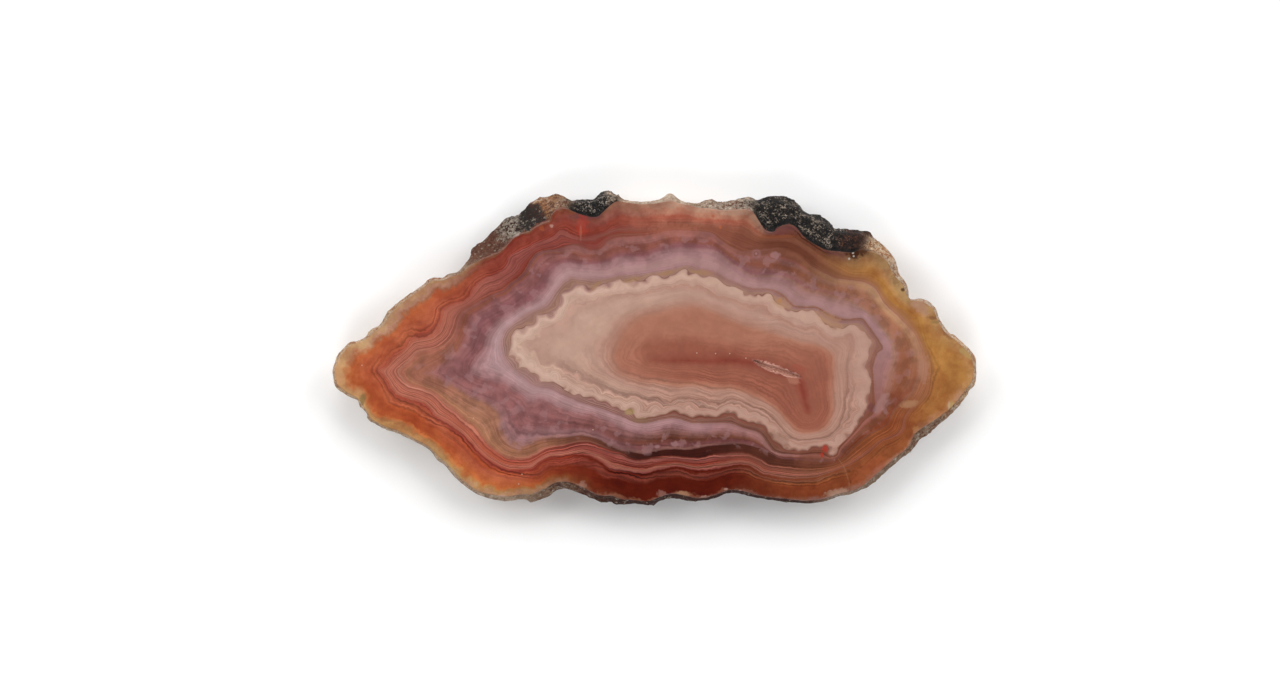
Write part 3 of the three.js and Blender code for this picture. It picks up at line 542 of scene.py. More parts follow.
# The edges of the groups of beds, from the outermost, and the ridge that they close on, in mm.
LOOPS: dict[str, Points] = {
    "clear_zone": (
        (-42.6, -3.5), (-41.9, -3.2), (-41.2, -2.7), (-40.2, -1.7), (-39.1, -0.6), (-38.2, 0.3), (-37.6, 1.1),
        (-36.4, 1.5), (-34.8, 1.8), (-33.7, 2.4), (-33, 3.4), (-32.6, 4.8), (-32.4, 5.6), (-31.6, 6.2),
        (-30.5, 6.7), (-29.4, 7.2), (-28.6, 7.8), (-28, 8.7), (-27.4, 9.4), (-26.9, 10.1), (-26, 10.7),
        (-24.9, 11.1), (-24, 11.6), (-23, 12.4), (-22.6, 13.3), (-22.3, 14.2), (-21.5, 14.7), (-20.4, 15.1),
        (-19.3, 15.6), (-18.7, 16.1), (-17.6, 16.4), (-16.4, 16.8), (-15.4, 17.3), (-14.6, 18), (-13.7, 17.8),
        (-12.8, 17.2), (-11.6, 16.9), (-10, 17.1), (-8.6, 17.5), (-7.4, 17.8), (-6.1, 18.4), (-4.1, 18.6),
        (-1.9, 18.4), (0.1, 18.5), (2.1, 18.9), (4, 19.1), (6.3, 18.9), (8.6, 18.7), (10.9, 18.6), (13.3, 18.3),
        (15.1, 17.7), (16.7, 17.1), (18.7, 17), (20.7, 16.9), (22.2, 16.4), (23.5, 15.6), (24.7, 14.7),
        (26, 13.6), (27.5, 12.5), (29.1, 11.7), (30.6, 11.2), (32.2, 11.1), (33.6, 10.7), (34.7, 9.9),
        (35.4, 8.7), (36.4, 7.4), (37.4, 6.5), (38.8, 5.6), (39.9, 4.3), (40.9, 2.6), (41.6, 1.1), (42.2, -0.3),
        (42.7, -2), (42.9, -4.2), (42.8, -6.2), (42.2, -7.8), (41, -8.9), (39.8, -9.9), (39.1, -11.3),
        (39.1, -12.7), (38.2, -13.7), (36.8, -14.3), (35.6, -14.7), (34.3, -15.8), (32.9, -16.9), (31.4, -17.8),
        (30, -18.5), (28.8, -18.9), (27.2, -19.6), (24.9, -20.3), (22.6, -20.6), (20.2, -20.5), (17.9, -20),
        (16.7, -19.8), (15.9, -19.2), (15.1, -18.7), (14, -18.3), (12.5, -18.4), (10.5, -18.8), (8.6, -19.1),
        (6.3, -19.2), (4.7, -18.8), (3.2, -18.6), (1.2, -19.1), (0.1, -19.3), (-0.7, -19.6), (-1.5, -19.7),
        (-3, -19.6), (-5.8, -19.3), (-6.9, -19.1), (-7.5, -18.6), (-8.3, -17.8), (-9.2, -17.3), (-10.3, -16.9),
        (-11.6, -16.7), (-12.8, -16.8), (-14.7, -17.1), (-15.9, -17.1), (-16.8, -17.4), (-17.6, -17.8),
        (-18.4, -18.5), (-19.1, -19), (-21.6, -19.2), (-23.2, -19), (-24, -18.6), (-25, -18), (-26.3, -17.2),
        (-27.4, -16.3), (-28.1, -15.4), (-29.4, -13.8), (-30.9, -12.7), (-32.2, -11.8), (-33.9, -10.6),
        (-34.8, -9.5), (-35.7, -8.7), (-37.1, -8.2), (-38.8, -7.8), (-39.8, -7.5), (-40.5, -6.7), (-41, -5.8),
        (-41.6, -4.8), (-42.2, -4),
    ),
    "mauve_zone": (
        (-40, -3.7), (-39.5, -3.1), (-38.8, -2.5), (-37.9, -1.5), (-37, -0.6), (-35.4, -0.2), (-33.6, 0.1),
        (-32.3, 0.8), (-31.4, 1.8), (-30.8, 3.2), (-30.5, 4.6), (-30, 5.7), (-28.9, 6.4), (-27.7, 7),
        (-26.6, 7.6), (-25.5, 8.1), (-24.3, 8.6), (-23.3, 9.1), (-22.6, 9.8), (-21.8, 10.4), (-21, 11),
        (-20.2, 11.8), (-19.6, 12.9), (-19.1, 13.8), (-18.5, 14.5), (-17.6, 15), (-16.4, 15.3), (-15, 15.4),
        (-13.4, 16), (-12.2, 16.2), (-10.9, 15.8), (-9.7, 15.3), (-8.4, 15.5), (-7.7, 16.3), (-7.1, 17),
        (-5.8, 17.3), (-3.8, 17.4), (-1.5, 17.5), (0.2, 17.8), (1.6, 18.2), (3.3, 18.4), (5.5, 18.4),
        (7.8, 18.2), (9.2, 17.8), (10.5, 16.7), (11.9, 15.8), (13.6, 15.1), (15.6, 15.3), (17.6, 15.6),
        (19.5, 15.6), (21.2, 15.2), (22.6, 14.5), (23.6, 13.6), (24.7, 12.6), (26, 11.9), (27.1, 11.3),
        (28.1, 10.8), (29.5, 10.6), (31.2, 10.4), (32.8, 10.1), (34, 9.4), (34.7, 8.5), (35.3, 7.4),
        (36.2, 6.3), (37.3, 5.4), (38.5, 4.2), (39.6, 3.1), (40.4, 2.2), (41, 0.8), (41.5, -0.6), (41.8, -2.2),
        (41.8, -4), (41.3, -5.9), (40.4, -7.5), (39.1, -8.5), (37.9, -9.6), (37, -11), (36.4, -12.3),
        (35.1, -13), (33.7, -13.8), (32.3, -14.7), (31.1, -15.8), (30, -16.9), (28.9, -17.8), (27.5, -18.4),
        (25.3, -18.7), (23.2, -18.6), (21, -18.4), (19.5, -18.2), (17.9, -18), (16.7, -17.2), (15.6, -16.7),
        (14.5, -16.3), (12.5, -16.2), (10.2, -16.3), (8.6, -16.6), (7.1, -17), (4.7, -16.9), (2.4, -16.7),
        (0.9, -16.8), (-0.7, -17.1), (-2.2, -17.4), (-3.8, -17.1), (-5, -16.4), (-6.1, -16.1), (-7.5, -15.6),
        (-8.8, -15.1), (-10, -14.7), (-11.6, -14.7), (-13.1, -15.1), (-14.3, -15.4), (-15.4, -15.5),
        (-16.7, -15.8), (-17.6, -16.3), (-18.5, -16.9), (-20.1, -17.5), (-22.7, -17.4), (-24, -16.9),
        (-25.5, -15.8), (-27.1, -14.3), (-28.6, -12.7), (-29.4, -12), (-30.2, -11.2), (-31.2, -10.2),
        (-32.2, -9.3), (-33.3, -8.1), (-34.2, -7.3), (-35.3, -6.8), (-36.7, -6.4), (-37.9, -6.1), (-38.7, -5.6),
        (-39.3, -4.9), (-39.8, -4.2),
    ),
    "plum_zone": (
        (-36.2, -4), (-35.4, -3.4), (-34.3, -2.9), (-33.1, -2.3), (-31.9, -1.4), (-30.8, -0.5), (-30, 0.6),
        (-29.5, 2), (-29.1, 3.6), (-28.8, 4.8), (-28.1, 5.4), (-27.1, 6), (-26.1, 6.7), (-25.3, 7.4),
        (-24.3, 7.9), (-23, 8.4), (-22.2, 9.1), (-21.5, 9.8), (-20.5, 10.4), (-19.8, 11.1), (-19, 12.2),
        (-18.4, 13.3), (-17.6, 14.1), (-16.5, 14.6), (-15.1, 14.6), (-13.4, 14.6), (-11.6, 14.2), (-9.7, 14.2),
        (-8, 14.5), (-6.6, 15.2), (-5, 15.6), (-3, 15.6), (-1, 15.8), (0.9, 16.3), (3.2, 16.9), (5.5, 16.8),
        (7.8, 16.6), (9.5, 16), (11.1, 14.9), (12.8, 14), (14.5, 13.6), (16.4, 13.3), (18.7, 13.1),
        (20.7, 12.7), (22.2, 12.2), (23.5, 11.5), (24.9, 10.5), (26.6, 9.8), (28.4, 9.4), (30.3, 9.1),
        (32, 8.6), (33.4, 7.7), (34.5, 6.5), (35.6, 5.1), (36.7, 4), (37.8, 2.9), (38.7, 1.5), (39.3, -0.2),
        (39.6, -2), (39.5, -3.9), (38.8, -5.6), (37.8, -7.1), (36.7, -8.4), (35.9, -9.8), (35.3, -11.2),
        (34, -12), (32.6, -12.7), (31.4, -13.7), (30.3, -14.7), (29.4, -15.8), (28.4, -17.1), (27.1, -17.6),
        (25, -17.6), (23, -17.4), (21, -17.3), (19.5, -17.1), (18.2, -16.4), (17.1, -15.8), (15.6, -15.4),
        (14, -15), (12.5, -14.9), (10.2, -15.1), (8.9, -15.2), (7.1, -15.5), (5.5, -15.8), (2.4, -15.8),
        (0.1, -16.1), (-1, -16.4), (-2.2, -16.5), (-3.8, -16.2), (-5, -16.1), (-6, -15.8), (-7.2, -15.1),
        (-8.4, -14.4), (-10, -13.8), (-11.9, -13.6), (-12.6, -13.8), (-14.3, -14), (-15.9, -14), (-17.6, -14.3),
        (-19.1, -14.9), (-20.9, -15.4), (-22.4, -14.9), (-23.5, -13.7), (-24, -12), (-24.4, -10.4),
        (-25.5, -9.4), (-26.9, -8.6), (-28.4, -7.9), (-30, -7.1), (-31.6, -6.3), (-33.1, -5.5), (-34.7, -4.8),
        (-35.6, -4.4),
    ),
    "lilac_zone": (
        (-28.1, -3.4), (-27.7, -2.5), (-27.1, -1.4), (-26.4, -0.3), (-26, 0.9), (-25.6, 2.2), (-24.9, 3.2),
        (-24, 4.2), (-22.9, 4.9), (-21.8, 5.7), (-20.5, 6.4), (-19.1, 7), (-18, 7.8), (-17.2, 8.8),
        (-16.5, 9.9), (-16, 11.1), (-15.4, 12.1), (-14.7, 12.8), (-13.4, 13.2), (-11.6, 12.9), (-9.2, 12.9),
        (-6.9, 13.3), (-5.7, 13.9), (-3.8, 14), (-1.5, 13.9), (0.1, 14.6), (1.5, 15), (3.3, 15.3), (5.5, 15.3),
        (7.8, 15.3), (9.8, 14.9), (11.1, 13.9), (12.3, 12.9), (13.7, 12), (15.1, 11.2), (17.1, 11.1),
        (19.1, 11.1), (20.7, 10.7), (22.1, 9.9), (23.5, 9.1), (25.3, 8.7), (27.2, 8.2), (29.1, 7.7),
        (30.8, 7.2), (32.3, 6.4), (33.4, 5.6), (34.3, 4.6), (35.3, 3.7), (36.2, 2.6), (37, 1.2), (37.6, -0.5),
        (37.8, -2.5), (37.4, -4.4), (36.7, -6.1), (36, -7.6), (35.6, -9.2), (35, -10.4), (33.7, -11.2),
        (32.6, -12), (31.6, -13), (30.6, -14.1), (29.7, -15.1), (28.9, -16), (28.4, -16.9), (27.1, -17.2),
        (24.9, -17.1), (22.9, -16.9), (21, -16.9), (19.6, -16.8), (18.5, -16.4), (17.6, -15.8), (17, -15.1),
        (16.2, -14.3), (15.1, -13.7), (13.6, -13.3), (12, -12.9), (10.5, -12.7), (8.9, -12.8), (7.4, -13),
        (5.8, -12.8), (4.3, -12.4), (2.7, -12.1), (1.2, -12.4), (-0.4, -12.9), (-1.9, -13), (-3.5, -12.8),
        (-5, -12.3), (-6.6, -11.5), (-8.1, -10.8), (-9.7, -10.2), (-11.2, -10.1), (-12.8, -9.9), (-14.2, -9.6),
        (-15.3, -9), (-16.5, -8.2), (-17.8, -7.9), (-19.3, -8.4), (-20.2, -7.6), (-21.2, -6.7), (-22.4, -5.9),
        (-24, -5.1), (-25.2, -4.8), (-26.6, -4.5), (-27.7, -3.9),
    ),
    "dark_line": (
        (-23.6, 0.1), (-23.6, 1.2), (-23.3, 2.3), (-22.7, 3.2), (-21.9, 3.8), (-21, 4.6), (-19.9, 5.4),
        (-18.7, 5.9), (-17.3, 6.5), (-16.4, 7.3), (-15.7, 8.4), (-15.1, 9.3), (-14.5, 10.1), (-13.7, 10.6),
        (-12.9, 11.1), (-12, 10.9), (-10, 10.8), (-8, 10.9), (-6.6, 11), (-5.5, 11.3), (-3.8, 11.5),
        (-2.2, 11.6), (-0.7, 11.8), (0.9, 12.1), (2.4, 12.3), (3.6, 12.6), (4.9, 12.9), (6, 12.7), (7.4, 12.3),
        (8.9, 11.9), (10.2, 11.3), (11.2, 10.7), (12.6, 10.1), (14, 9.5), (15.6, 9.2), (17.1, 9.2), (18.4, 9),
        (19.3, 8.7), (20.4, 7.9), (21.2, 7), (21.8, 6.5), (23.5, 6.3), (25.3, 6.3), (26.9, 5.3), (28.8, 4.6),
        (30.6, 4.4), (32.2, 4.6), (32.9, 3.9), (33.7, 2.9), (34.5, 1.8), (35.1, 0.8), (35.4, -0.2),
        (34.7, -0.6), (34.2, -1.6), (33.9, -2.8), (33.9, -4.4), (34, -6.2), (34.2, -8.1), (34.5, -9.5),
        (33.7, -10.6), (32.6, -11.4), (31.6, -12.6), (30.6, -13.7), (29.8, -14.5), (29.1, -15.2), (28.6, -16),
        (28.4, -16.8), (27.1, -17.1), (26, -16.6), (24.4, -16.5), (23.2, -16.6), (21.9, -16.6), (20.7, -16.5),
        (19.5, -16.4), (18.5, -16.1), (17.9, -15.4), (17.4, -14.6), (16.8, -13.7), (15.9, -13), (14.8, -12.7),
        (13.4, -12.3), (12, -11.7), (10.5, -11.6), (8.9, -11.6), (7.1, -11.6), (5.7, -11.6), (4.6, -11.2),
        (3.3, -10.9), (1.8, -11), (0.1, -11.3), (-1.3, -11.6), (-2.6, -11.6), (-3.5, -11.3), (-4.7, -10.7),
        (-6, -10.2), (-7.4, -9.6), (-8.8, -9.2), (-10.3, -8.8), (-11.8, -8.2), (-13.4, -7.5), (-14.8, -6.9),
        (-16, -6.3), (-17.3, -6.1), (-18.5, -5.8), (-19.8, -5), (-21, -4), (-22.1, -3.2), (-22.9, -2.2),
        (-23.3, -1.1),
    ),
    "cream_edge": (
        (-22.6, -1.1), (-22.2, -0.3), (-22.2, 0.4), (-22.6, 0.9), (-22.2, 1.5), (-21.3, 2.6), (-20.4, 2.7),
        (-19.5, 3.1), (-18.7, 3.7), (-18, 4.8), (-17, 5.1), (-15.9, 5.2), (-15.1, 6.3), (-14.7, 6.7),
        (-14.2, 7.6), (-13.9, 8.4), (-13.3, 9.1), (-12.5, 9.6), (-11.2, 9.4), (-10.3, 9.1), (-9.3, 9.1),
        (-8.4, 9.3), (-7.9, 9.8), (-6.7, 10.3), (-5.5, 10.6), (-4.9, 10.2), (-4.3, 10.1), (-3.3, 10.5),
        (-2.7, 10.1), (-2.2, 10.1), (-1.5, 10.4), (-1.3, 10.8), (-0.4, 11.1), (0.4, 11.1), (1.2, 10.9),
        (2.1, 11.1), (3.1, 11.5), (4, 11.8), (4.8, 12.2), (5.3, 11.9), (5.9, 11.5), (7.1, 11.3), (8.1, 11.1),
        (8.8, 11), (9.4, 10.8), (9.8, 10.4), (10.5, 10.1), (11.1, 9.7), (11.7, 9.4), (12.5, 9.4), (13.3, 9.4),
        (13.7, 8.8), (14, 8.2), (14.8, 8), (15.6, 8.1), (16.3, 8.4), (17.1, 8.5), (17.8, 8.3), (18.3, 7.5),
        (19, 6.7), (19.8, 6.1), (20.7, 5.8), (21.6, 5.7), (23.2, 5.8), (24.7, 5.7), (25.3, 4.5), (26, 3.8),
        (26.6, 3.3), (27.5, 3), (28.5, 2.9), (29.4, 3.1), (30.2, 3.3), (31.6, 3.2), (32.2, 2.6), (32.7, 1.9),
        (33.3, 1.2), (33.5, 0.3), (33.1, -0.8), (32.8, -1.9), (32.7, -3), (33.1, -3.6), (33.4, -4), (33.6, -5),
        (33.5, -6.1), (33.3, -7.5), (33.1, -8.8), (33.1, -9.9), (32.2, -11.2), (31.4, -12.3), (30.6, -13.3),
        (29.8, -14.3), (28.9, -14.9), (28.4, -15.7), (28.1, -16.6), (27.5, -16.9), (27.1, -16.4), (27.1, -15.7),
        (26.6, -15.2), (26, -15.4), (25.3, -15.4), (24.4, -15.8), (23.3, -16.1), (22.1, -16.1), (21, -16),
        (19.9, -15.4), (19.1, -14.9), (18.4, -13.9), (17.6, -12.8), (17, -12.2), (15.9, -11.6), (14.7, -11.4),
        (13.4, -10.9), (12.5, -10.3), (11.4, -10.1), (10.2, -10.4), (8.6, -10.6), (7.2, -10.7), (5.9, -10.7),
        (5.3, -10.6), (4.8, -10.5), (3.4, -10), (2.4, -10), (1.5, -10.2), (0.5, -10.5), (-0.4, -10.7),
        (-1.3, -10.9), (-2, -11), (-2.6, -10.9), (-2.9, -10.5), (-3.2, -9.8), (-3.8, -9.4), (-4.6, -9.5),
        (-5, -9.6), (-5.5, -9.3), (-6.4, -8.9), (-7.4, -8.5), (-8.4, -8.2), (-9.3, -8), (-10.2, -7.6),
        (-10.9, -7.4), (-11.2, -7.1), (-11.6, -6.9), (-12.2, -7.2), (-12.6, -7.3), (-13.6, -6.8), (-14.4, -6.1),
        (-14.7, -5.8), (-15, -5.4), (-15.3, -5), (-15.7, -4.8), (-16, -5), (-16.5, -5.2), (-17.3, -5.1),
        (-17.9, -5.1), (-18.2, -4.2), (-18.7, -3.6), (-19.3, -3.1), (-20.1, -3), (-20.9, -3.3), (-21.2, -2.8),
        (-21.3, -2), (-21.6, -1.4), (-22.2, -1.3),
    ),
    "rose_zone": (
        (-20.2, -0), (-19.9, 1.1), (-18.8, 1.8), (-17.6, 2.6), (-16.4, 3.4), (-15.1, 4), (-14.3, 4.6),
        (-13.7, 5.7), (-12.9, 6.8), (-12, 7.7), (-10.3, 7.8), (-8.4, 7.9), (-6.6, 8.3), (-5, 8.5), (-3.2, 8.5),
        (-1.5, 8.8), (0.1, 9.4), (1.6, 9.6), (3.2, 9.7), (4.7, 10.1), (6.3, 9.8), (7.5, 9.5), (8.4, 9),
        (9.4, 8.4), (10.8, 8), (12.3, 7.7), (13.6, 7), (15.1, 6.6), (16.5, 6.5), (17.4, 5.9), (18.4, 5.2),
        (19.6, 4.8), (20.7, 4.2), (22.1, 3.7), (23.5, 3.2), (25, 3.4), (25.7, 2.7), (26.7, 1.9), (28.4, 1.6),
        (30.2, 2), (30.8, 1.5), (31.1, 0.4), (30.8, -1.3), (30.5, -2.8), (30.6, -4.5), (30.6, -6.2),
        (30.3, -7.9), (30, -9.6), (29.5, -11.3), (28.6, -12.9), (27.2, -14), (25.3, -14.4), (23.5, -14.6),
        (21.8, -14.4), (20.4, -13.7), (19.3, -12.4), (18.1, -11), (16.7, -10), (14.8, -9.3), (13.3, -8.7),
        (11.9, -8.4), (10.5, -8.9), (8.9, -9.2), (8, -9), (7.1, -8.5), (5.5, -8.3), (4.1, -8.5), (2.7, -8.9),
        (1.6, -8.7), (0.4, -8.4), (-1, -8.8), (-2.1, -8.4), (-3.3, -7.8), (-4.7, -8), (-6.1, -7.6),
        (-7.5, -6.9), (-8.9, -6.2), (-10.3, -5.6), (-12, -5), (-13.6, -4.3), (-15.1, -3.5), (-16.5, -2.9),
        (-17.8, -2.2), (-19, -1.4), (-19.9, -0.8),
    ),
    "brick_core": (
        (-6, -0.6), (-5.2, 1.8), (-3.8, 3.7), (-1.5, 4.9), (1.6, 5.4), (4.7, 5.7), (7.5, 5.4), (9.8, 4.3),
        (12.2, 3.4), (14.5, 2.6), (17.1, 1.7), (20.2, 0.8), (23.3, 0.1), (25.7, -0.3), (26.9, -1.4),
        (27.1, -3.7), (26.9, -6.2), (27.1, -8.4), (27.1, -10.1), (26.4, -11.8), (25.3, -12.7), (23.5, -12.9),
        (22.1, -12.4), (20.9, -11.2), (19.5, -9.5), (17.6, -8.1), (15.1, -6.8), (12.5, -5.9), (9.4, -5.4),
        (6.3, -5.2), (3.2, -5), (0.1, -4.9), (-1.5, -5), (-2.9, -4.5), (-4.3, -4), (-5.5, -3.3), (-6.1, -2),
    ),
}

RIDGE: Points = (
    (-0.4, -1.9), (2.4, -2), (5.5, -2), (8.6, -2.1), (11.7, -2), (14, -2.2), (15.9, -2.5), (17.3, -3.1),
    (18.8, -3.6), (20.7, -4), (22.2, -4.7), (22.9, -6.2), (23.3, -8.1), (23.8, -9.9),
)

GROWTH = Growth(LOOPS, RIDGE)


def flank_shares(points: np.ndarray) -> np.ndarray:
    """How much of each flank's log holds at each point; the shares add up to 1.

    A flank's share falls off as a bell curve of how much farther its seat is than
    the nearest seat, and again, more widely, as a bell curve of the distance itself.

    Args:
        points: x, y in mm.

    Returns:
        One column for each flank.
    """
    gaps = np.column_stack([gap_to(points, np.array(f.seat), closed=False) for f in FLANKS])
    spare = gaps - gaps.min(1)[:, None]
    shares = np.exp(-(spare**2) / (2 * SEAT_LEAD**2) - gaps**2 / (2 * SEAT_REACH**2))
    return shares / shares.sum(1)[:, None]


@dataclass(frozen=True)
class Slit:
    """The last of the hollow that the bands closed: a narrow cleft in the face."""

    path: Points = ((15.7, -2.0), (17.2, -2.9), (18.7, -3.4), (20.8, -4.0), (22.6, -4.5))
    half_width: float = 0.5
    depth: float = 0.6
    waver: float = 0.25  # how far the half width strays, as a share of it
    floor: float = 0.62  # share of the half width that is flat ground

    def sunk(self, points: np.ndarray) -> np.ndarray:
        """How far the face is cut down at each point, in mm.

        The cleft's half width swells from nothing at its ends as the square root of
        a sine and wavers with noise; the cut falls steeply within its outer third.

        Args:
            points: x, y in mm.

        Returns:
            Depths of 0 to the slit's depth.
        """
        line = between(np.array(self.path), 10, closed=False)
        gaps = np.hypot(*(points[:, None, :] - line[None]).transpose(2, 0, 1))
        along = gaps.argmin(1) / (len(line) - 1)
        waver = 1 + self.waver * noise(np.column_stack([points * 1.7, np.zeros(len(points))]))
        half = self.half_width * np.sqrt(np.sin(np.pi * np.clip(along, 0.001, 0.999))) * waver
        return self.depth * (1 - ease(gap_to(points, line, closed=False) / half, self.floor, 1.0))


# ---- shader building ----


class Board:
    """A node tree with short ways to put down nodes and join them."""

    def __init__(self, tree: bpy.types.NodeTree) -> None:
        """Starts on a tree, which is left as it is."""
        self.tree = tree

    def feed(self, node: bpy.types.Node, key: Union[str, int], value: Feed) -> None:
        """Joins a socket to an input, or sets the input to a constant."""
        if isinstance(value, Socket):
            self.tree.links.new(value, node.inputs[key])
        else:
            node.inputs[key].default_value = value

    def put(self, kind: str, feeds: dict[Union[str, int], Feed], **settings: object) -> bpy.types.Node:
        """Puts down one node.

        Args:
            kind: Blender's name of the node.
            feeds: what goes into which input.
            settings: the node's own options.

        Returns:
            The node.
        """
        node = self.tree.nodes.new(kind)
        for name, value in settings.items():
            setattr(node, name, value)
        for key, value in feeds.items():
            self.feed(node, key, value)
        return node

    def math(self, operation: str, *values: Feed, clamp: bool = False) -> Socket:
        """One sum on numbers, such as ADD or MULTIPLY."""
        node = self.put("ShaderNodeMath", dict(enumerate(values)), operation=operation)
        node.use_clamp = clamp
        return node.outputs[0]

    def times(self, value: Feed, by: Feed) -> Socket:
        """One number times another."""
        return self.math("MULTIPLY", value, by)

    def times_plus(self, value: Feed, by: Feed, plus: Feed) -> Socket:
        """One number times another, plus a third."""
        return self.math("MULTIPLY_ADD", value, by, plus)

    def vector(self, operation: str, *values: Feed) -> Socket:
        """One sum on vectors."""
        return self.put("ShaderNodeVectorMath", dict(enumerate(values)), operation=operation).outputs[0]

    def dimmed(self, colour: Feed, loss: Feed) -> Socket:
        """A colour times one minus the loss; a loss below 0 brightens it."""
        node = self.put("ShaderNodeMix", {0: loss, 6: colour, 7: BLACK},
                        data_type="RGBA", blend_type="MULTIPLY", clamp_factor=False)
        return node.outputs[2]

    def rise(self, value: Feed, low: float, high: float, bottom: float = 0.0, top: float = 1.0) -> Socket:
        """Eases from bottom to top as the value goes from low to high."""
        feeds = {"Value": value, "From Min": low, "From Max": high, "To Min": bottom, "To Max": top}
        node = self.put("ShaderNodeMapRange", feeds, interpolation_type="SMOOTHSTEP")
        return node.outputs["Result"]

    def blend(self, share: Feed, under: Feed, over: Feed, mode: str = "MIX") -> Socket:
        """Lays one colour over another by a share from 0 to 1."""
        node = self.put("ShaderNodeMix", {0: share, 6: under, 7: over}, data_type="RGBA", blend_type=mode)
        return node.outputs[2]

    def attribute(self, name: str) -> Socket:
        """A number kept on the mesh."""
        return self.put("ShaderNodeAttribute", {}, attribute_name=name).outputs["Fac"]

    def place(self) -> Socket:
        """The point's place in mm."""
        coordinates = self.put("ShaderNodeTexCoord", {}).outputs["Object"]
        return self.vector("MULTIPLY", coordinates, (1 / MM, 1 / MM, 1 / MM))

    def noise(self, place: Feed, scale: float, detail: float = 2.0, roughness: float = 0.5) -> Socket:
        """Noise around 0.5 whose largest cells are 1 / scale mm across."""
        feeds = {"Vector": place, "Scale": scale, "Detail": detail, "Roughness": roughness}
        return self.put("ShaderNodeTexNoise", feeds, noise_dimensions="3D").outputs["Fac"]

    def sway(self, place: Feed, scale: float, detail: float = 2.0, roughness: float = 0.5) -> Socket:
        """Noise around 0."""
        return self.math("SUBTRACT", self.noise(place, scale, detail, roughness), 0.5)

    def noise_along(self, along: Feed, scale: float, detail: float) -> Socket:
        """Noise around 0.5 along one number, whose largest cells are 1 / scale of it long."""
        feeds = {"W": along, "Scale": scale, "Detail": detail, "Roughness": 0.6}
        return self.put("ShaderNodeTexNoise", feeds, noise_dimensions="1D").outputs["Fac"]

    def ramp(self, along: Feed, log: Log, low: float, high: float) -> Socket:
        """What a log says at a number.

        Args:
            along: the number, in the log's own units.
            log: where each hue or each value lies.
            low: the number at the ramp's start.
            high: the number at its end.

        Returns:
            The colour, or the value for a log of values.
        """
        share = self.put("ShaderNodeMapRange", {"Value": along, "From Min": low, "From Max": high})
        node = self.put("ShaderNodeValToRGB", {"Fac": share.outputs["Result"]})
        stops = node.color_ramp.elements
        for i, (at, hue) in enumerate(sorted(log.items())):
            stop = stops[i] if i < 2 else stops.new(1.0)
            stop.position = (at - low) / (high - low)
            stop.color = hue.paint if isinstance(hue, Hue) else (1.0, 1.0, 1.0, hue)
        return node.outputs["Color" if isinstance(log[low], Hue) else "Alpha"]


def group(name: str, inputs: dict[str, tuple[str, float]], outputs: dict[str, str]) -> bpy.types.NodeTree:
    """Makes an empty shader group with its sockets.

    Args:
        name: the group's name.
        inputs: kind and preset of each input.
        outputs: kind of each output.

    Returns:
        The group, with its input and output nodes down.
    """
    tree = bpy.data.node_groups.new(name, "ShaderNodeTree")
    for key, (kind, preset) in inputs.items():
        socket = tree.interface.new_socket(key, in_out="INPUT", socket_type=kind)
        if kind == "NodeSocketFloat":
            socket.default_value = preset
    for key, kind in outputs.items():
        tree.interface.new_socket(key, in_out="OUTPUT", socket_type=kind)
    tree.nodes.new("NodeGroupInput")
    tree.nodes.new("NodeGroupOutput")
    return tree


# How strongly the finest layers and the clouds show, by bed.
LINE_STRENGTH: Log = {0.0: 0.03, 0.6: 0.05, 0.8: 0.24, 1.9: 0.25, 2.1: 0.12, 2.9: 0.1, 3.1: 0.08, 3.6: 0.12,
                      4.2: 0.06, 4.8: 0.08, 4.95: 0.15, 5.9: 0.15, 6.05: 0.04, 6.5: 0.05, 6.7: 0.13,
                      7.2: 0.14, 7.5: 0.08, 7.9: 0.14, 8.3: 0.1, 9.0: 0.06}
CLOUD_STRENGTH: Log = {0.0: 0.6, 1.0: 0.4, 1.9: 0.45, 2.3: 1.0, 2.9: 1.4, 4.0: 1.3, 4.7: 0.5, 5.5: 0.5,
                       6.2: 0.3, 7.5: 0.3, 9.0: 0.4}
BLOB_SHARE: Log = {0.0: 0.0, 2.3: 0.0, 2.9: 0.35, 4.1: 0.35, 4.6: 0.0, 9.0: 0.0}


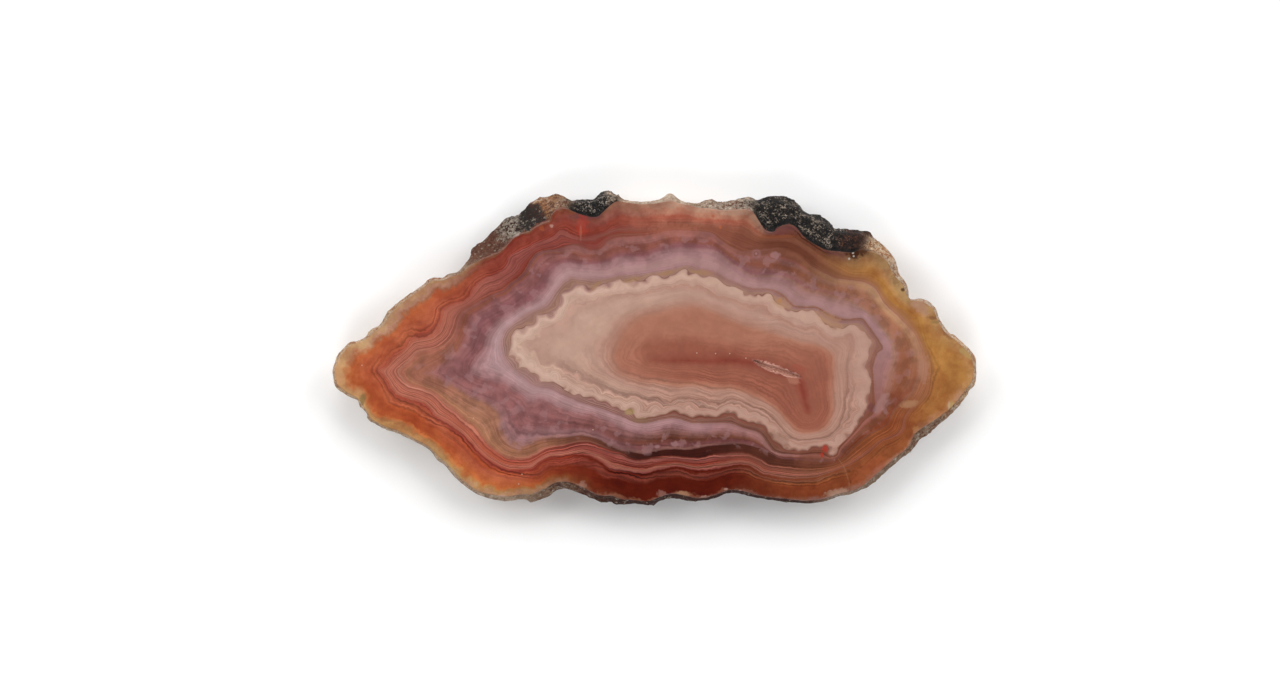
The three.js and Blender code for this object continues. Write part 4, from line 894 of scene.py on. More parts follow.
@dataclass(frozen=True)
class Banding:
    """Shader group: the agate's banded colour, from the bed and the flanks' shares.

    Each wave is its noise's scale, its octaves and how many beds it shifts.
    """

    name: str = "agate_banding"
    broad: tuple[float, float, float] = (0.35, 1.0, 0.16)
    fine: tuple[float, float, float] = (1.4, 3.0, 0.14)
    rag: tuple[float, float, float] = (0.5, 4.0, 0.75)  # only at the outer edge
    rag_ends: float = 0.8  # the bed where the outer edge's waves have died out
    lobes: tuple[float, float] = (0.62, 0.75)  # cusps round the core: scale, and how many beds
    lobe_mean: float = 0.42
    seam_bed: float = 5.97
    seam_half: tuple[float, float] = (0.02, 0.1)  # half the seam's width in beds, dark and faded
    layers: tuple[float, float] = (5.0, 9.5)  # finest layers to a bed, wide ones and thin ones
    fan: float = 1.2  # beds by which the finest layers run across the bands
    blot: tuple[float, float] = (0.12, -0.14)  # how far clouds darken and brighten
    deep_tint: tuple[float, float, float, float] = (0.84, 0.76, 0.72, 1.0)
    pale_tint: tuple[float, float, float, float] = (1.12, 1.25, 1.2, 1.0)
    faint_deep: tuple[float, float, float, float] = (0.97, 0.96, 0.95, 1.0)
    faint_pale: tuple[float, float, float, float] = (1.02, 1.04, 1.03, 1.0)

    def build(self) -> bpy.types.NodeTree:
        """Builds the group: input Waver, output Color."""
        tree = group(self.name, {"Waver": ("NodeSocketFloat", 1.0)}, {"Color": "NodeSocketColor"})
        board = Board(tree)
        place = board.place()
        bed = self.wavering(board, place, tree.nodes["Group Input"].outputs["Waver"])
        outer: Feed = BLACK
        for flank in FLANKS:
            share = board.attribute(f"flank_{flank.name}")
            outer = board.blend(share, outer, board.ramp(bed, flank.log, 0.0, CORE_BED), "ADD")
        core: Feed = BLACK
        for name, log in CORES.items():
            share = board.attribute(f"core_{name}")
            core = board.blend(share, core, board.ramp(bed, log, CORE_BED, RIDGE_BED), "ADD")
        colour = board.blend(board.rise(bed, CORE_BED - 0.03, CORE_BED + 0.03), outer, core)
        colour = board.blend(self.seam(board, place, bed), colour, H.BARK.paint)
        colour = board.dimmed(colour, self.laminae(board, place, bed))
        colour = board.dimmed(colour, self.clouds(board, place, bed))
        colour = board.blend(1.0, colour, self.mottle(board, place, bed), "MULTIPLY")
        colour = board.blend(self.blobs(board, place, bed), colour, H.MAUVE.paint)
        board.feed(tree.nodes["Group Output"], "Color", colour)
        return tree

    def wavering(self, board: Board, place: Socket, waver: Socket) -> Socket:
        """The bed with its small waves, a ragged outer edge and knobbly cusps round the core."""
        bed = board.attribute("bed")
        broad, fine = (board.times(board.sway(place, scale, octaves), depth)
                       for scale, octaves, depth in (self.broad, self.fine))
        shift = board.math("ADD", broad, fine)
        ragged = board.sway(place, *self.rag[:2], 0.6)
        shift = board.times_plus(ragged, board.rise(bed, self.rag_ends, 0.0, 0.0, self.rag[2]), shift)
        scale, depth = self.lobes
        lobes = board.put("ShaderNodeTexVoronoi", {"Vector": place, "Scale": scale}, feature="F1")
        lobes = board.math("SUBTRACT", lobes.outputs["Distance"], self.lobe_mean)
        near = board.times(board.rise(bed, 5.3, 5.9), board.rise(bed, 7.4, 6.3, 0.0, depth))
        shift = board.times_plus(lobes, near, shift)
        return board.times_plus(shift, waver, bed)

    def seam(self, board: Board, place: Socket, bed: Socket) -> Socket:
        """The thin dark line that outlines the core and comes and goes: its share."""
        off = board.math("ABSOLUTE", board.math("SUBTRACT", bed, self.seam_bed))
        dark, faint = self.seam_half
        faded = board.rise(board.noise(place, 0.3, 2.0), 0.38, 0.6, 0.1, 0.6)
        return board.times(board.rise(off, faint, dark), faded)

    def laminae(self, board: Board, place: Socket, bed: Socket) -> Socket:
        """The finest layers: crisp lines along the bed in two widths that come and go."""
        phase = board.times_plus(board.noise(place, 0.09, 1.0), self.fan, bed)
        wide = board.rise(board.noise_along(phase, self.layers[0], 1.0), 0.36, 0.64, -1.0, 1.0)
        apart = board.math("ADD", phase, 7.0)
        thin = board.rise(board.noise_along(apart, self.layers[1], 1.0), 0.38, 0.62, -1.0, 1.0)
        lines = board.times_plus(wide, 0.6, thin)
        patchy = board.rise(board.noise(place, 0.22, 2.0), 0.3, 0.62, 0.35, 1.15)
        strength = board.times(board.ramp(bed, LINE_STRENGTH, 0.0, RIDGE_BED), patchy)
        strength = board.times(strength, board.attribute("crisp"))
        return board.times(lines, strength)

    def clouds(self, board: Board, place: Socket, bed: Socket) -> Socket:
        """Pale and dark blotches, strongest in the plum layers."""
        blot = board.rise(board.noise(place, 0.42, 4.0, 0.55), 0.38, 0.62, *self.blot)
        return board.times(blot, board.ramp(bed, CLOUD_STRENGTH, 0.0, RIDGE_BED))

    def blobs(self, board: Board, place: Socket, bed: Socket) -> Socket:
        """Small pale spots with crisp edges that float in the plum layers: their share."""
        spots = board.rise(board.noise(place, 0.55, 3.0, 0.5), 0.55, 0.63)
        return board.times(spots, board.ramp(bed, BLOB_SHARE, 0.0, RIDGE_BED))

    def mottle(self, board: Board, place: Socket, bed: Socket) -> Socket:
        """Drifts between a deeper red and a yellower tint, strongest in the outer layers."""
        drift = board.rise(board.noise(place, 0.28, 5.0, 0.65), 0.36, 0.64)
        strong = board.blend(drift, self.deep_tint, self.pale_tint)
        faint = board.blend(drift, self.faint_deep, self.faint_pale)
        return board.blend(board.rise(bed, 0.7, 1.2), strong, faint)


@dataclass(frozen=True)
class Patch:
    """Shader group: a soft oval mask with a ragged edge, for the stains and the painted highlights."""

    name: str = "soft_patch"

    def build(self) -> bpy.types.NodeTree:
        """Builds the group: place, centre, turn, reach, noise and its share; output Mask."""
        inputs = {key: ("NodeSocketVector", 0.0) for key in ("Place", "Centre", "Turn", "Reach")}
        inputs |= {"Noise": ("NodeSocketFloat", 0.5), "Ragged": ("NodeSocketFloat", 0.3)}
        tree = group(self.name, inputs, {"Mask": "NodeSocketFloat"})
        board = Board(tree)
        given = tree.nodes["Group Input"].outputs
        own = board.put("ShaderNodeMapping", {
            "Vector": given["Place"], "Location": given["Centre"], "Rotation": given["Turn"],
            "Scale": given["Reach"]}, vector_type="TEXTURE").outputs[0]
        near = board.put("ShaderNodeTexGradient", {0: own}, gradient_type="SPHERICAL").outputs["Fac"]
        rag = board.math("SUBTRACT", 0.5, given["Noise"])
        rag = board.times(rag, board.rise(near, 0.0, 0.3))
        near = board.times_plus(rag, given["Ragged"], near)
        board.feed(tree.nodes["Group Output"], "Mask", board.rise(near, 0.22, 0.65))
        return tree


@dataclass(frozen=True)
class Grit:
    """Shader group: grains of a size, each with its own shade, and dark gaps between."""

    name: str = "rock_grit"

    def build(self) -> bpy.types.NodeTree:
        """Builds the group: input Size in mm; outputs Shade, a grain's own number, and Gap."""
        tree = group(self.name, {"Size": ("NodeSocketFloat", 0.4)},
                     {"Shade": "NodeSocketFloat", "Gap": "NodeSocketFloat"})
        board = Board(tree)
        size = tree.nodes["Group Input"].outputs["Size"]
        place = board.place()
        wander = board.vector("SUBTRACT", board.put("ShaderNodeTexNoise", {
            "Vector": place, "Scale": 2.5, "Detail": 2.0}).outputs["Color"], (0.5, 0.5, 0.5))
        place = board.vector("MULTIPLY_ADD", wander, (0.5, 0.5, 0.5), place)
        scale = board.math("DIVIDE", 1.0, size)
        cells = board.put("ShaderNodeTexVoronoi", {"Vector": place, "Scale": scale}, feature="F1")
        shade = board.put("ShaderNodeSeparateColor", {0: cells.outputs["Color"]}).outputs[0]
        out = tree.nodes["Group Output"]
        board.feed(out, "Shade", shade)
        board.feed(out, "Gap", board.rise(cells.outputs["Distance"], 0.35, 0.75))
        return tree


@dataclass(frozen=True)
class Spot:
    """A soft spot of another colour on the polish, a stain or a painted highlight: place, half sizes in mm,
    turn in degrees.
    """

    x: float
    y: float
    long: float
    wide: float
    turn: float
    hue: Hue
    share: float
    ragged: float = 0.3


# Single pale specks on the polish, x and y.
GLINTS: Points = (
    (-21.0, -21.1), (-20.5, -19.6), (-28.0, -10.9), (-12.0, -3.7), (-9.5, -12.7), (-45.3, -2.7), (11.7, -0.9),
    (14.2, -1.6), (6.6, -0.8), (9.5, -0.9),
)

STAINS_AND_HIGHLIGHTS = (
    # the first basalt knob and the crust before it
    Spot(-10.6, 20.4, 2.64, 0.62, 0, H.DARK_PLUM, 0.7, 0.5),
    Spot(-11.1, 19.0, 0.9, 1.9, -8, H.SCARLET, 0.35, 1.0),
    Spot(-11.4, 17.8, 0.2, 1.3, 0, H.SALMON, 0.3, 0.5),
    Spot(-17.5, 18.5, 0.45, 0.4, 0, H.ORANGE, 0.3, 0.8),
    Spot(-15.9, 18.9, 0.3, 0.3, 0, H.BLUSH, 0.7, 0.7),
    Spot(-26.3, 15.2, 0.5, 0.47, 0, H.OAT, 0.7, 0.4),
    Spot(-26.9, 16.1, 0.7, 0.54, 0, H.MOSS, 0.5, 0.5),
    Spot(-21.6, 17.7, 0.93, 0.5, 25, H.CHALK, 0.7, 0.5),
    # a painted highlight: the pinkish gleam on the crust's relief
    Spot(-20.2, 18.5, 0.7, 0.31, 25, H.BLUSH, 0.6, 0.4),
    Spot(-24.6, 15.8, 0.78, 1.55, 20, H.BARK, 0.55, 0.9),
    # the roof
    Spot(3.2, 18.1, 4.03, 1.24, 0, H.ROSE_BRICK, 0.3, 0.9),
    Spot(9.1, 20.4, 0.31, 0.31, 0, H.RED_ORANGE, 0.5, 0.5),
    Spot(10.2, 18.7, 0.26, 0.26, 0, H.ORANGE, 0.5, 0.5),
    Spot(-5.3, 17.5, 3.26, 0.25, 3, H.CHESTNUT, 0.45, 0.4),
    Spot(-9.1, 9.6, 1.09, 0.37, 40, H.BUFF, 0.5, 0.4),
    Spot(-3.5, 10.5, 1.71, 0.37, 12, H.BUFF, 0.5, 0.4),
    Spot(1.9, 11.6, 1.24, 0.4, 10, H.BUFF, 0.5, 0.4),
    Spot(7.4, 11.7, 1.86, 0.4, -4, H.BUFF, 0.5, 0.4),
    # below the large basalt knobs
    Spot(19.3, 18.4, 3.41, 0.93, 0, H.DARK_PLUM, 0.6, 0.6),
    Spot(18.8, 17.2, 3.1, 0.25, 2, H.RUSSET, 0.45, 0.4),
    Spot(15.8, 14.6, 0.74, 0.74, 0, H.HEATHER, 0.5, 0.3),
    Spot(15.8, 14.6, 0.45, 0.45, 0, H.CHESTNUT, 0.6, 0.2),
    Spot(15.8, 14.6, 0.2, 0.2, 0, H.MAUVE, 0.6, 0.2),
    Spot(18.7, 14.4, 0.78, 0.56, 0, H.MAUVE, 0.55, 0.5),
    Spot(28.0, 15.0, 2.64, 0.93, -24, H.DARK_PLUM, 0.5, 0.6),
    # a painted highlight: the whitish gleam on the lump's relief
    Spot(28.8, 16.3, 1.24, 0.31, -15, H.CHALK, 0.8, 0.5),
    Spot(31.6, 15.2, 2.2, 1.1, 10, H.EARTH, 0.85, 0.6),
    Spot(31.0, 14.5, 1.0, 0.9, 0, H.EARTH, 0.8, 0.5),
    Spot(30.8, 14.7, 0.2, 0.19, 0, H.CHALK, 0.9, 0.1),
    Spot(30.9, 14.2, 0.16, 0.16, 0, H.CHALK, 0.9, 0.1),
    Spot(30.2, 13.8, 0.2, 0.19, 0, H.CHALK, 0.9, 0.1),
    # the right flank and tip
    Spot(38.5, 9.0, 0.34, 0.31, 0, H.EARTH, 0.8, 0.3),
    Spot(37.4, 10.5, 0.62, 0.93, 10, H.LOAM, 0.4, 0.9),
    Spot(41.2, 6.3, 1.86, 0.93, -40, H.BLUSH, 0.4, 0.5),
    Spot(43.3, 4.6, 1.09, 0.31, -10, H.LOAM, 0.5, 0.9),
    Spot(43.6, 4.0, 0.7, 0.31, 0, H.MOSS, 0.55, 0.5),
    Spot(45.7, 1.8, 1.09, 0.47, -30, H.LOAM, 0.4, 0.9),
    Spot(48.3, -0.8, 1.55, 0.56, -38, H.LIME, 0.5, 0.4),
    Spot(38.4, -3.1, 1.24, 4.65, -10, H.RUSSET, 0.35, 0.5),
    Spot(37.6, -7.6, 0.93, 1.4, 0, H.SIENNA, 0.45, 0.5),
    Spot(41.8, -3.4, 0.93, 2.33, -5, H.PEACH, 0.35, 0.6),
    Spot(47.5, -7.8, 1.09, 0.93, 40, H.BLUSH, 0.35, 0.9),
    Spot(46.1, -9.0, 0.71, 0.68, 40, H.LIME, 0.6, 0.3),
    Spot(45.7, -9.0, 0.16, 0.78, 0, H.OAT, 0.6, 0.2),
    Spot(40.9, -13.0, 0.62, 1.24, 35, H.HONEY, 0.45, 0.9),
    Spot(39.5, -8.7, 1.4, 0.62, 12, H.STRAW, 0.5, 0.5),
    # the lower right
    Spot(35.6, -11.8, 2.48, 0.93, 8, H.SIENNA, 0.45, 0.5),
    Spot(33.4, -18.8, 3.26, 1.24, 38, H.EMBER, 0.25, 0.8),
    Spot(28.3, -22.4, 2.02, 0.6, 12, H.HUSK, 0.35, 0.8),
    Spot(33.7, -9.3, 0.78, 0.78, 0, H.DARK_PLUM, 0.6, 0.3),
    Spot(35.1, -8.7, 0.7, 2.17, -28, H.ROSE_LILAC, 0.45, 0.4),
    Spot(24.4, -17.4, 2.64, 0.93, 4, H.CHESTNUT, 0.4, 0.5),
    Spot(18.7, -14.4, 2.33, 1.4, 0, H.LOAM, 0.3, 0.6),
    Spot(26.5, -15.7, 0.5, 0.56, 0, H.SCARLET, 0.6, 0.6),
    Spot(26.0, -16.6, 0.25, 0.4, 0, H.SCARLET, 0.7, 0.6),
    Spot(27.8, -16.1, 0.6, 0.78, -20, H.BLUSH, 0.4, 0.6),
    Spot(28.8, -17.6, 0.67, 0.09, -54, H.STRAW, 0.2, 0.3),
    Spot(29.5, -18.7, 0.59, 0.09, -67, H.STRAW, 0.2, 0.3),
    Spot(29.9, -19.9, 0.73, 0.09, -72, H.STRAW, 0.2, 0.3),
    Spot(30.2, -21.1, 0.5, 0.09, -90, H.STRAW, 0.2, 0.3),
    Spot(30.1, -19.1, 0.35, 0.25, 0, H.EARTH, 0.4, 0.4),
    Spot(30.4, -20.8, 0.2, 0.3, 0, H.EARTH, 0.4, 0.4),
    # the foot
    Spot(-11.2, -21.3, 0.93, 0.62, 0, H.BLUSH, 0.3, 0.95),
    Spot(1.2, -22.7, 0.78, 0.62, 0, H.BLUSH, 0.3, 0.95),
    Spot(4.4, -22.6, 1.09, 0.47, 0, H.STRAW, 0.6, 0.5),
    Spot(8.0, -23.2, 0.93, 0.31, 0, H.BLUSH, 0.5, 0.9),
    Spot(11.1, -21.9, 0.34, 0.19, 0, H.BLUSH, 0.6, 0.4),
    Spot(13.3, -22.2, 0.31, 0.22, 0, H.BLUSH, 0.6, 0.4),
    Spot(-23.6, -23.1, 0.78, 0.31, 0, H.OAT, 0.7, 0.3),
    Spot(0.5, -15.3, 0.47, 0.28, 15, H.MAUVE, 0.6, 0.4),
    Spot(3.2, -14.9, 0.65, 0.47, 0, H.MAUVE, 0.6, 0.5),
    Spot(-2.1, -11.2, 1.55, 0.53, 0, H.MOSS, 0.3, 0.5),
    Spot(-30.9, -18.3, 0.26, 0.25, 0, H.HONEY, 0.8, 0.2),
    # the left arm
    Spot(-37.3, 5.7, 1.4, 0.62, 38, H.ORANGE, 0.5, 0.9),
    Spot(-35.4, 2.6, 2.17, 0.93, 32, H.BRICK_RED, 0.3, 0.6),
    Spot(-45.3, -8.1, 0.47, 1.16, -18, H.MOSS, 0.7, 0.5),
    Spot(-32.0, -18.2, 4.65, 0.6, -48, H.LIME, 0.25, 0.6),
    Spot(-48.9, -4.2, 0.93, 2.33, 10, H.PALE_TAN, 0.6, 0.4),
    # the core
    Spot(19.6, 7.0, 1.55, 0.85, -25, H.STRAW, 0.5, 0.6),
    Spot(27.2, 4.3, 2.48, 1.01, -28, H.STRAW, 0.45, 0.6),
    Spot(19.5, 7.3, 0.4, 0.4, 0, H.HONEY, 0.7, 0.3),
    Spot(-3.8, -9.9, 0.85, 0.53, 0, H.LIME, 0.45, 0.4),
    Spot(22.4, -3.1, 1.09, 0.47, -20, H.BRICK, 0.4, 0.6),
    Spot(19.2, -3.35, 3.2, 0.55, -21, H.DRUSE, 0.85, 0.9),
    Spot(21.5, -5.0, 1.1, 0.6, -20, H.SALMON, 0.6, 0.6),
    *(Spot(x, y, 0.1, 0.1, 0, H.CREAM, 0.8, 0.1) for x, y in GLINTS),
)

# The rind's main colour, its dark grains and its light ones, by how far round the rim they lie.
RIND_MAIN: Log = {
    0.0: H.SAND, 0.1: H.HUSK, 0.112: H.DRAB, 0.125: H.LOAM, 0.14: H.LOAM, 0.147: H.ASH, 0.154: H.ASH,
    0.158: H.SLATE, 0.176: H.SLATE, 0.18: H.OCHRE, 0.196: H.DRAB, 0.2: H.SLATE, 0.224: H.SLATE, 0.232: H.HUSK,
    0.262: H.BONE, 0.28: H.HUSK, 0.318: H.ASH, 0.323: H.SLATE, 0.384: H.SLATE, 0.388: H.EARTH, 0.401: H.EARTH,
    0.408: H.SAND, 0.45: H.HUSK, 0.53: H.SAND, 0.56: H.DRAB, 0.64: H.DRAB, 0.668: H.EARTH, 0.78: H.EARTH,
    0.805: H.LOAM, 0.84: H.DRAB, 0.86: H.HUSK, 1.0: H.SAND}
RIND_DARK: Log = {
    0.0: H.STRAW, 0.08: H.OCHRE, 0.11: H.CHESTNUT, 0.125: H.BARK, 0.15: H.EARTH, 0.162: H.PITCH,
    0.172: H.EARTH, 0.18: H.LOAM, 0.196: H.LOAM, 0.2: H.PITCH, 0.224: H.PITCH, 0.232: H.DRAB, 0.262: H.HUSK,
    0.28: H.DRAB, 0.312: H.LOAM, 0.322: H.PITCH, 0.39: H.PITCH, 0.4: H.EARTH, 0.412: H.OCHRE, 0.5: H.STRAW,
    0.54: H.OCHRE, 0.57: H.LOAM, 0.64: H.DRAB, 0.66: H.EARTH, 0.67: H.SOOT, 0.78: H.SOOT, 0.8: H.EARTH,
    0.83: H.LOAM, 0.84: H.DRAB, 0.95: H.DRAB, 1.0: H.STRAW}
RIND_LIGHT: Log = {
    0.0: H.BONE, 0.1: H.HUSK, 0.113: H.DRAB, 0.135: H.ASH, 0.15: H.CHALK, 0.162: H.ASH, 0.176: H.ASH,
    0.184: H.HUSK, 0.2: H.ASH, 0.224: H.CHALK, 0.232: H.BONE, 0.315: H.BONE, 0.323: H.ASH, 0.38: H.ASH,
    0.386: H.LOAM, 0.4: H.LOAM, 0.406: H.BONE, 0.55: H.BONE, 0.57: H.CHALK, 0.66: H.CHALK, 0.67: H.ASH,
    0.81: H.ASH, 0.83: H.CHALK, 0.86: H.BONE, 1.0: H.BONE}


@dataclass(frozen=True)
class Stone:
    """The finish of polish, rind and side in one material.

    Where the rind's colour and roughness set in and where they are full is given as
    shares of its width. Sizes are in mm.
    """

    polish: float = 0.13
    crust: float = 0.82
    crystals: float = 0.9  # the roughness of the slit's crystals
    gleam: float = 0.3
    relief: float = 0.25
    relief_share: float = 0.8  # strength of the bump
    cover: tuple[float, float] = (0.02, 0.3)
    dull: tuple[float, float] = (0.02, 0.12)
    seam_waver: float = 0.6  # how far the rind's inner edge wanders, as a share of its width
    basalt_seam: float = 6.0  # how much sharper that edge is on basalt
    # The spots below are the stains and the painted highlights alike.
    spot_reach: float = 1.6  # a stain's mask, as a multiple of the stain's half sizes
    spot_rag: float = 2.0  # how much of the noise eats into it, for each unit of the stain's own
    spot_deep: float = 1e4  # stains reach straight through
    crystal_size: float = 0.22
    crust_grain: float = 0.3
    basalt_grain: float = -0.14  # added to the crust's on basalt
    mottling: float = 0.9
    # The dark line on the saw ledge's step is painted shade under the step, partly a dark skin round the
    # basalt.
    ledge_shade_and_skin: float = 0.9  # how much of the dark line along the foot of the saw ledge shows
    # The pits' darkness is painted shade in the basalt's hollows; their depth only sinks the bump.
    basalt_pits: tuple[float, float] = (0.65, -1.6)  # how dark, and how deep as a share of the relief

    def material(self, banding: bpy.types.NodeTree, patch: bpy.types.NodeTree,
                 grit: bpy.types.NodeTree, shift: np.ndarray) -> bpy.types.Material:
        """Builds the material.

        Args:
            banding: the banded colour's group.
            patch: the stains' group.
            grit: the rind's grain group.
            shift: how far the slice was moved to centre it, x and y in mm.

        Returns:
            The material.
        """
        stone = bpy.data.materials.new("polished_agate")
        stone.use_nodes = True
        board = Board(stone.node_tree)
        shader = stone.node_tree.nodes["Principled BSDF"]
        place = board.place()
        bands = board.put("ShaderNodeGroup", {"Waver": 1.0}, node_tree=banding)
        colour = self.face(board, bands, patch, shift)
        run, depth, ledge = (board.attribute(name) for name in ("run", "depth", "ledge"))
        skin, bump = self.skin(board, run, depth, ledge, grit)
        seam = board.sway(place, 1.6, 3.0, 0.65)
        stray = board.times(seam, board.rise(depth, 0.0, 0.15))
        reach = board.times_plus(stray, self.seam_waver, depth)
        reach = board.times(reach, board.times_plus(ledge, self.basalt_seam, 1.0))
        covered = board.rise(reach, *self.cover)
        colour, druse = self.druse(board, colour, grit)
        board.feed(shader, "Base Color", board.blend(covered, colour, skin))
        rough = board.rise(reach, *self.dull, self.polish, self.crust)
        board.feed(shader, "Roughness", board.math("MAXIMUM", rough, board.times(druse, self.crystals)))
        relief = board.times(bump, board.math("MAXIMUM", covered, druse))
        board.feed(shader, "Normal", board.put("ShaderNodeBump", {
            "Height": relief, "Distance": self.relief * MM, "Strength": self.relief_share}).outputs["Normal"])
        shader.inputs["IOR"].default_value = QUARTZ_IOR
        shader.inputs["Specular IOR Level"].default_value = self.gleam
        return stone

    def face(self, board: Board, bands: bpy.types.Node, patch: bpy.types.NodeTree,
             shift: np.ndarray) -> Socket:
        """The polished face's colour: the banding, then the stains and the painted highlights."""
        place = board.place()
        colour = bands.outputs["Color"]
        rag = board.noise(place, 1.3, 4.0, 0.65)
        for spot in STAINS_AND_HIGHLIGHTS:
            mask = board.put("ShaderNodeGroup", {
                "Place": place,
                "Centre": (spot.x + shift[0], spot.y + shift[1], 0.0),
                "Turn": (0.0, 0.0, math.radians(spot.turn)),
                "Reach": (self.spot_reach * spot.long, self.spot_reach * spot.wide, self.spot_deep),
                "Noise": rag,
                "Ragged": self.spot_rag * spot.ragged,
            }, node_tree=patch).outputs["Mask"]
            colour = board.blend(board.times(mask, spot.share), colour, spot.hue.paint)
        return colour

    def druse(self, board: Board, colour: Socket, grit: bpy.types.NodeTree) -> tuple[Socket, Socket]:
        """Lines the slit with pale crystals that feather out over its edge.

        Args:
            board: the material's board.
            colour: the face's colour.
            grit: the grain group.

        Returns:
            The colour and the share that is crystals.
        """
        crystals = board.put("ShaderNodeGroup", {"Size": self.crystal_size}, node_tree=grit)
        jagged = board.times_plus(crystals.outputs["Shade"], 0.8, 0.5)
        share = board.rise(board.times(jagged, board.attribute("hollow")), 0.08, 0.3)
        tint = board.blend(crystals.outputs["Shade"], H.SALMON.paint, H.DRUSE.paint)
        return board.blend(share, colour, tint), share

    def skin(self, board: Board, run: Socket, depth: Socket, ledge: Socket,
             grit: bpy.types.NodeTree) -> tuple[Socket, Socket]:
        """The rind's colour and relief.

        Args:
            board: the material's board.
            run: how far round the rim the point is, 0 to 1.
            depth: how far across the rind it is, from 0 at the polish to 1.
            ledge: 1 on basalt.
            grit: the grain group.

        Returns:
            The colour and the height of its relief.
        """
        size = board.times_plus(ledge, self.basalt_grain, self.crust_grain)
        grains = board.put("ShaderNodeGroup", {"Size": size}, node_tree=grit)
        coarse = board.put("ShaderNodeGroup", {"Size": self.mottling}, node_tree=grit)
        place = board.place()
        stray = board.sway(place, 0.5, 2.0)
        drift = board.rise(depth, 0.5, 1.4, 0.008, 0.07)
        along = board.times_plus(stray, drift, run)
        colour, dark, light = (board.ramp(along, log, 0.0, 1.0) for log in (RIND_MAIN, RIND_DARK, RIND_LIGHT))
        patchy = board.noise(place, 0.8, 4.0, 0.65)
        speckle = board.times_plus(ledge, 0.2, 0.4)
        pick = board.times_plus(board.math("SUBTRACT", grains.outputs["Shade"], 0.5), speckle, patchy)
        colour = board.blend(board.rise(pick, 0.5, 0.36), colour, dark)
        colour = board.blend(board.rise(pick, 0.62, 0.78), colour, light)
        wander = board.times_plus(board.math("SUBTRACT", patchy, 0.5), 0.3, depth)
        # Painted shade: a dark line on the basalt where the saw ledge steps down from the polish, where shade
        # falls under the step; it is partly a dark skin round the basalt.
        rim = board.times(ledge, board.rise(wander, 0.26, 0.13))
        colour = board.blend(board.times(rim, self.ledge_shade_and_skin), colour, H.PITCH.paint)
        # Painted shade: the basalt's pits, which the bump sinks, are darkened as if shade fell into them.
        hollows = board.rise(board.noise(place, 0.9, 3.0, 0.6), 0.52, 0.36)
        pit_shade, deep_pits = self.basalt_pits
        colour = board.dimmed(colour, board.times(hollows, board.times(ledge, pit_shade)))
        shade = board.times_plus(coarse.outputs["Shade"], -0.24, 0.12)
        colour = board.dimmed(colour, shade)
        colour = board.dimmed(colour, board.times(grains.outputs["Gap"], 0.25))
        bump = board.math("ADD", board.times(board.noise(place, 2.2, 5.0, 0.65), 0.7),
                          board.times(grains.outputs["Shade"], 0.3))
        bump = board.times_plus(hollows, board.times(ledge, deep_pits), bump)
        return colour, bump


@dataclass(frozen=True)
class SawnBack:
    """The finish of the back: the same bands, dulled, with the saw's faint arcs."""

    waver: float = 1.6  # the bands' waves, as a multiple of the face's
    saw_hub: tuple[float, float, float] = (20.0, -160.0, 0.0)  # the arcs' middle in mm
    dulling: float = 0.25
    rough: tuple[float, float] = (0.62, 0.48)
    shade: tuple[float, float] = (0.06, -0.04)
    arc_depth: float = 0.08  # mm
    arc_share: float = 0.5  # strength of the bump

    def material(self, banding: bpy.types.NodeTree) -> bpy.types.Material:
        """Builds the material.

        Args:
            banding: the banded colour's group.

        Returns:
            The material.
        """
        back = bpy.data.materials.new("sawn_back")
        back.use_nodes = True
        board = Board(back.node_tree)
        shader = back.node_tree.nodes["Principled BSDF"]
        bands = board.put("ShaderNodeGroup", {"Waver": self.waver}, node_tree=banding)
        place = board.place()
        away = board.vector("SUBTRACT", place, self.saw_hub)
        radius = board.put("ShaderNodeVectorMath", {0: away}, operation="LENGTH").outputs["Value"]
        arcs = board.noise_along(radius, 1.6, 3.0)
        dulled = board.blend(self.dulling, bands.outputs["Color"], H.OAT.paint)
        shade = board.rise(arcs, 0.3, 0.7, *self.shade)
        board.feed(shader, "Base Color", board.dimmed(dulled, shade))
        board.feed(shader, "Roughness", board.rise(arcs, 0.3, 0.7, *self.rough))
        board.feed(shader, "Normal", board.put("ShaderNodeBump", {
            "Height": arcs, "Distance": self.arc_depth * MM, "Strength": self.arc_share}).outputs["Normal"])
        shader.inputs["IOR"].default_value = QUARTZ_IOR
        return back


# ---- the slice ----


class Zone(Enum):
    """Parts of the slice's skin that are laid out apart."""

    TOP = "face and rind"
    SIDE = "side"
    BACK = "sawn back"


@dataclass(frozen=True)
class Strip:
    """Faces with equally many corners: their points, how far round each lies, the zone."""

    corners: np.ndarray
    run: np.ndarray
    zone: Zone


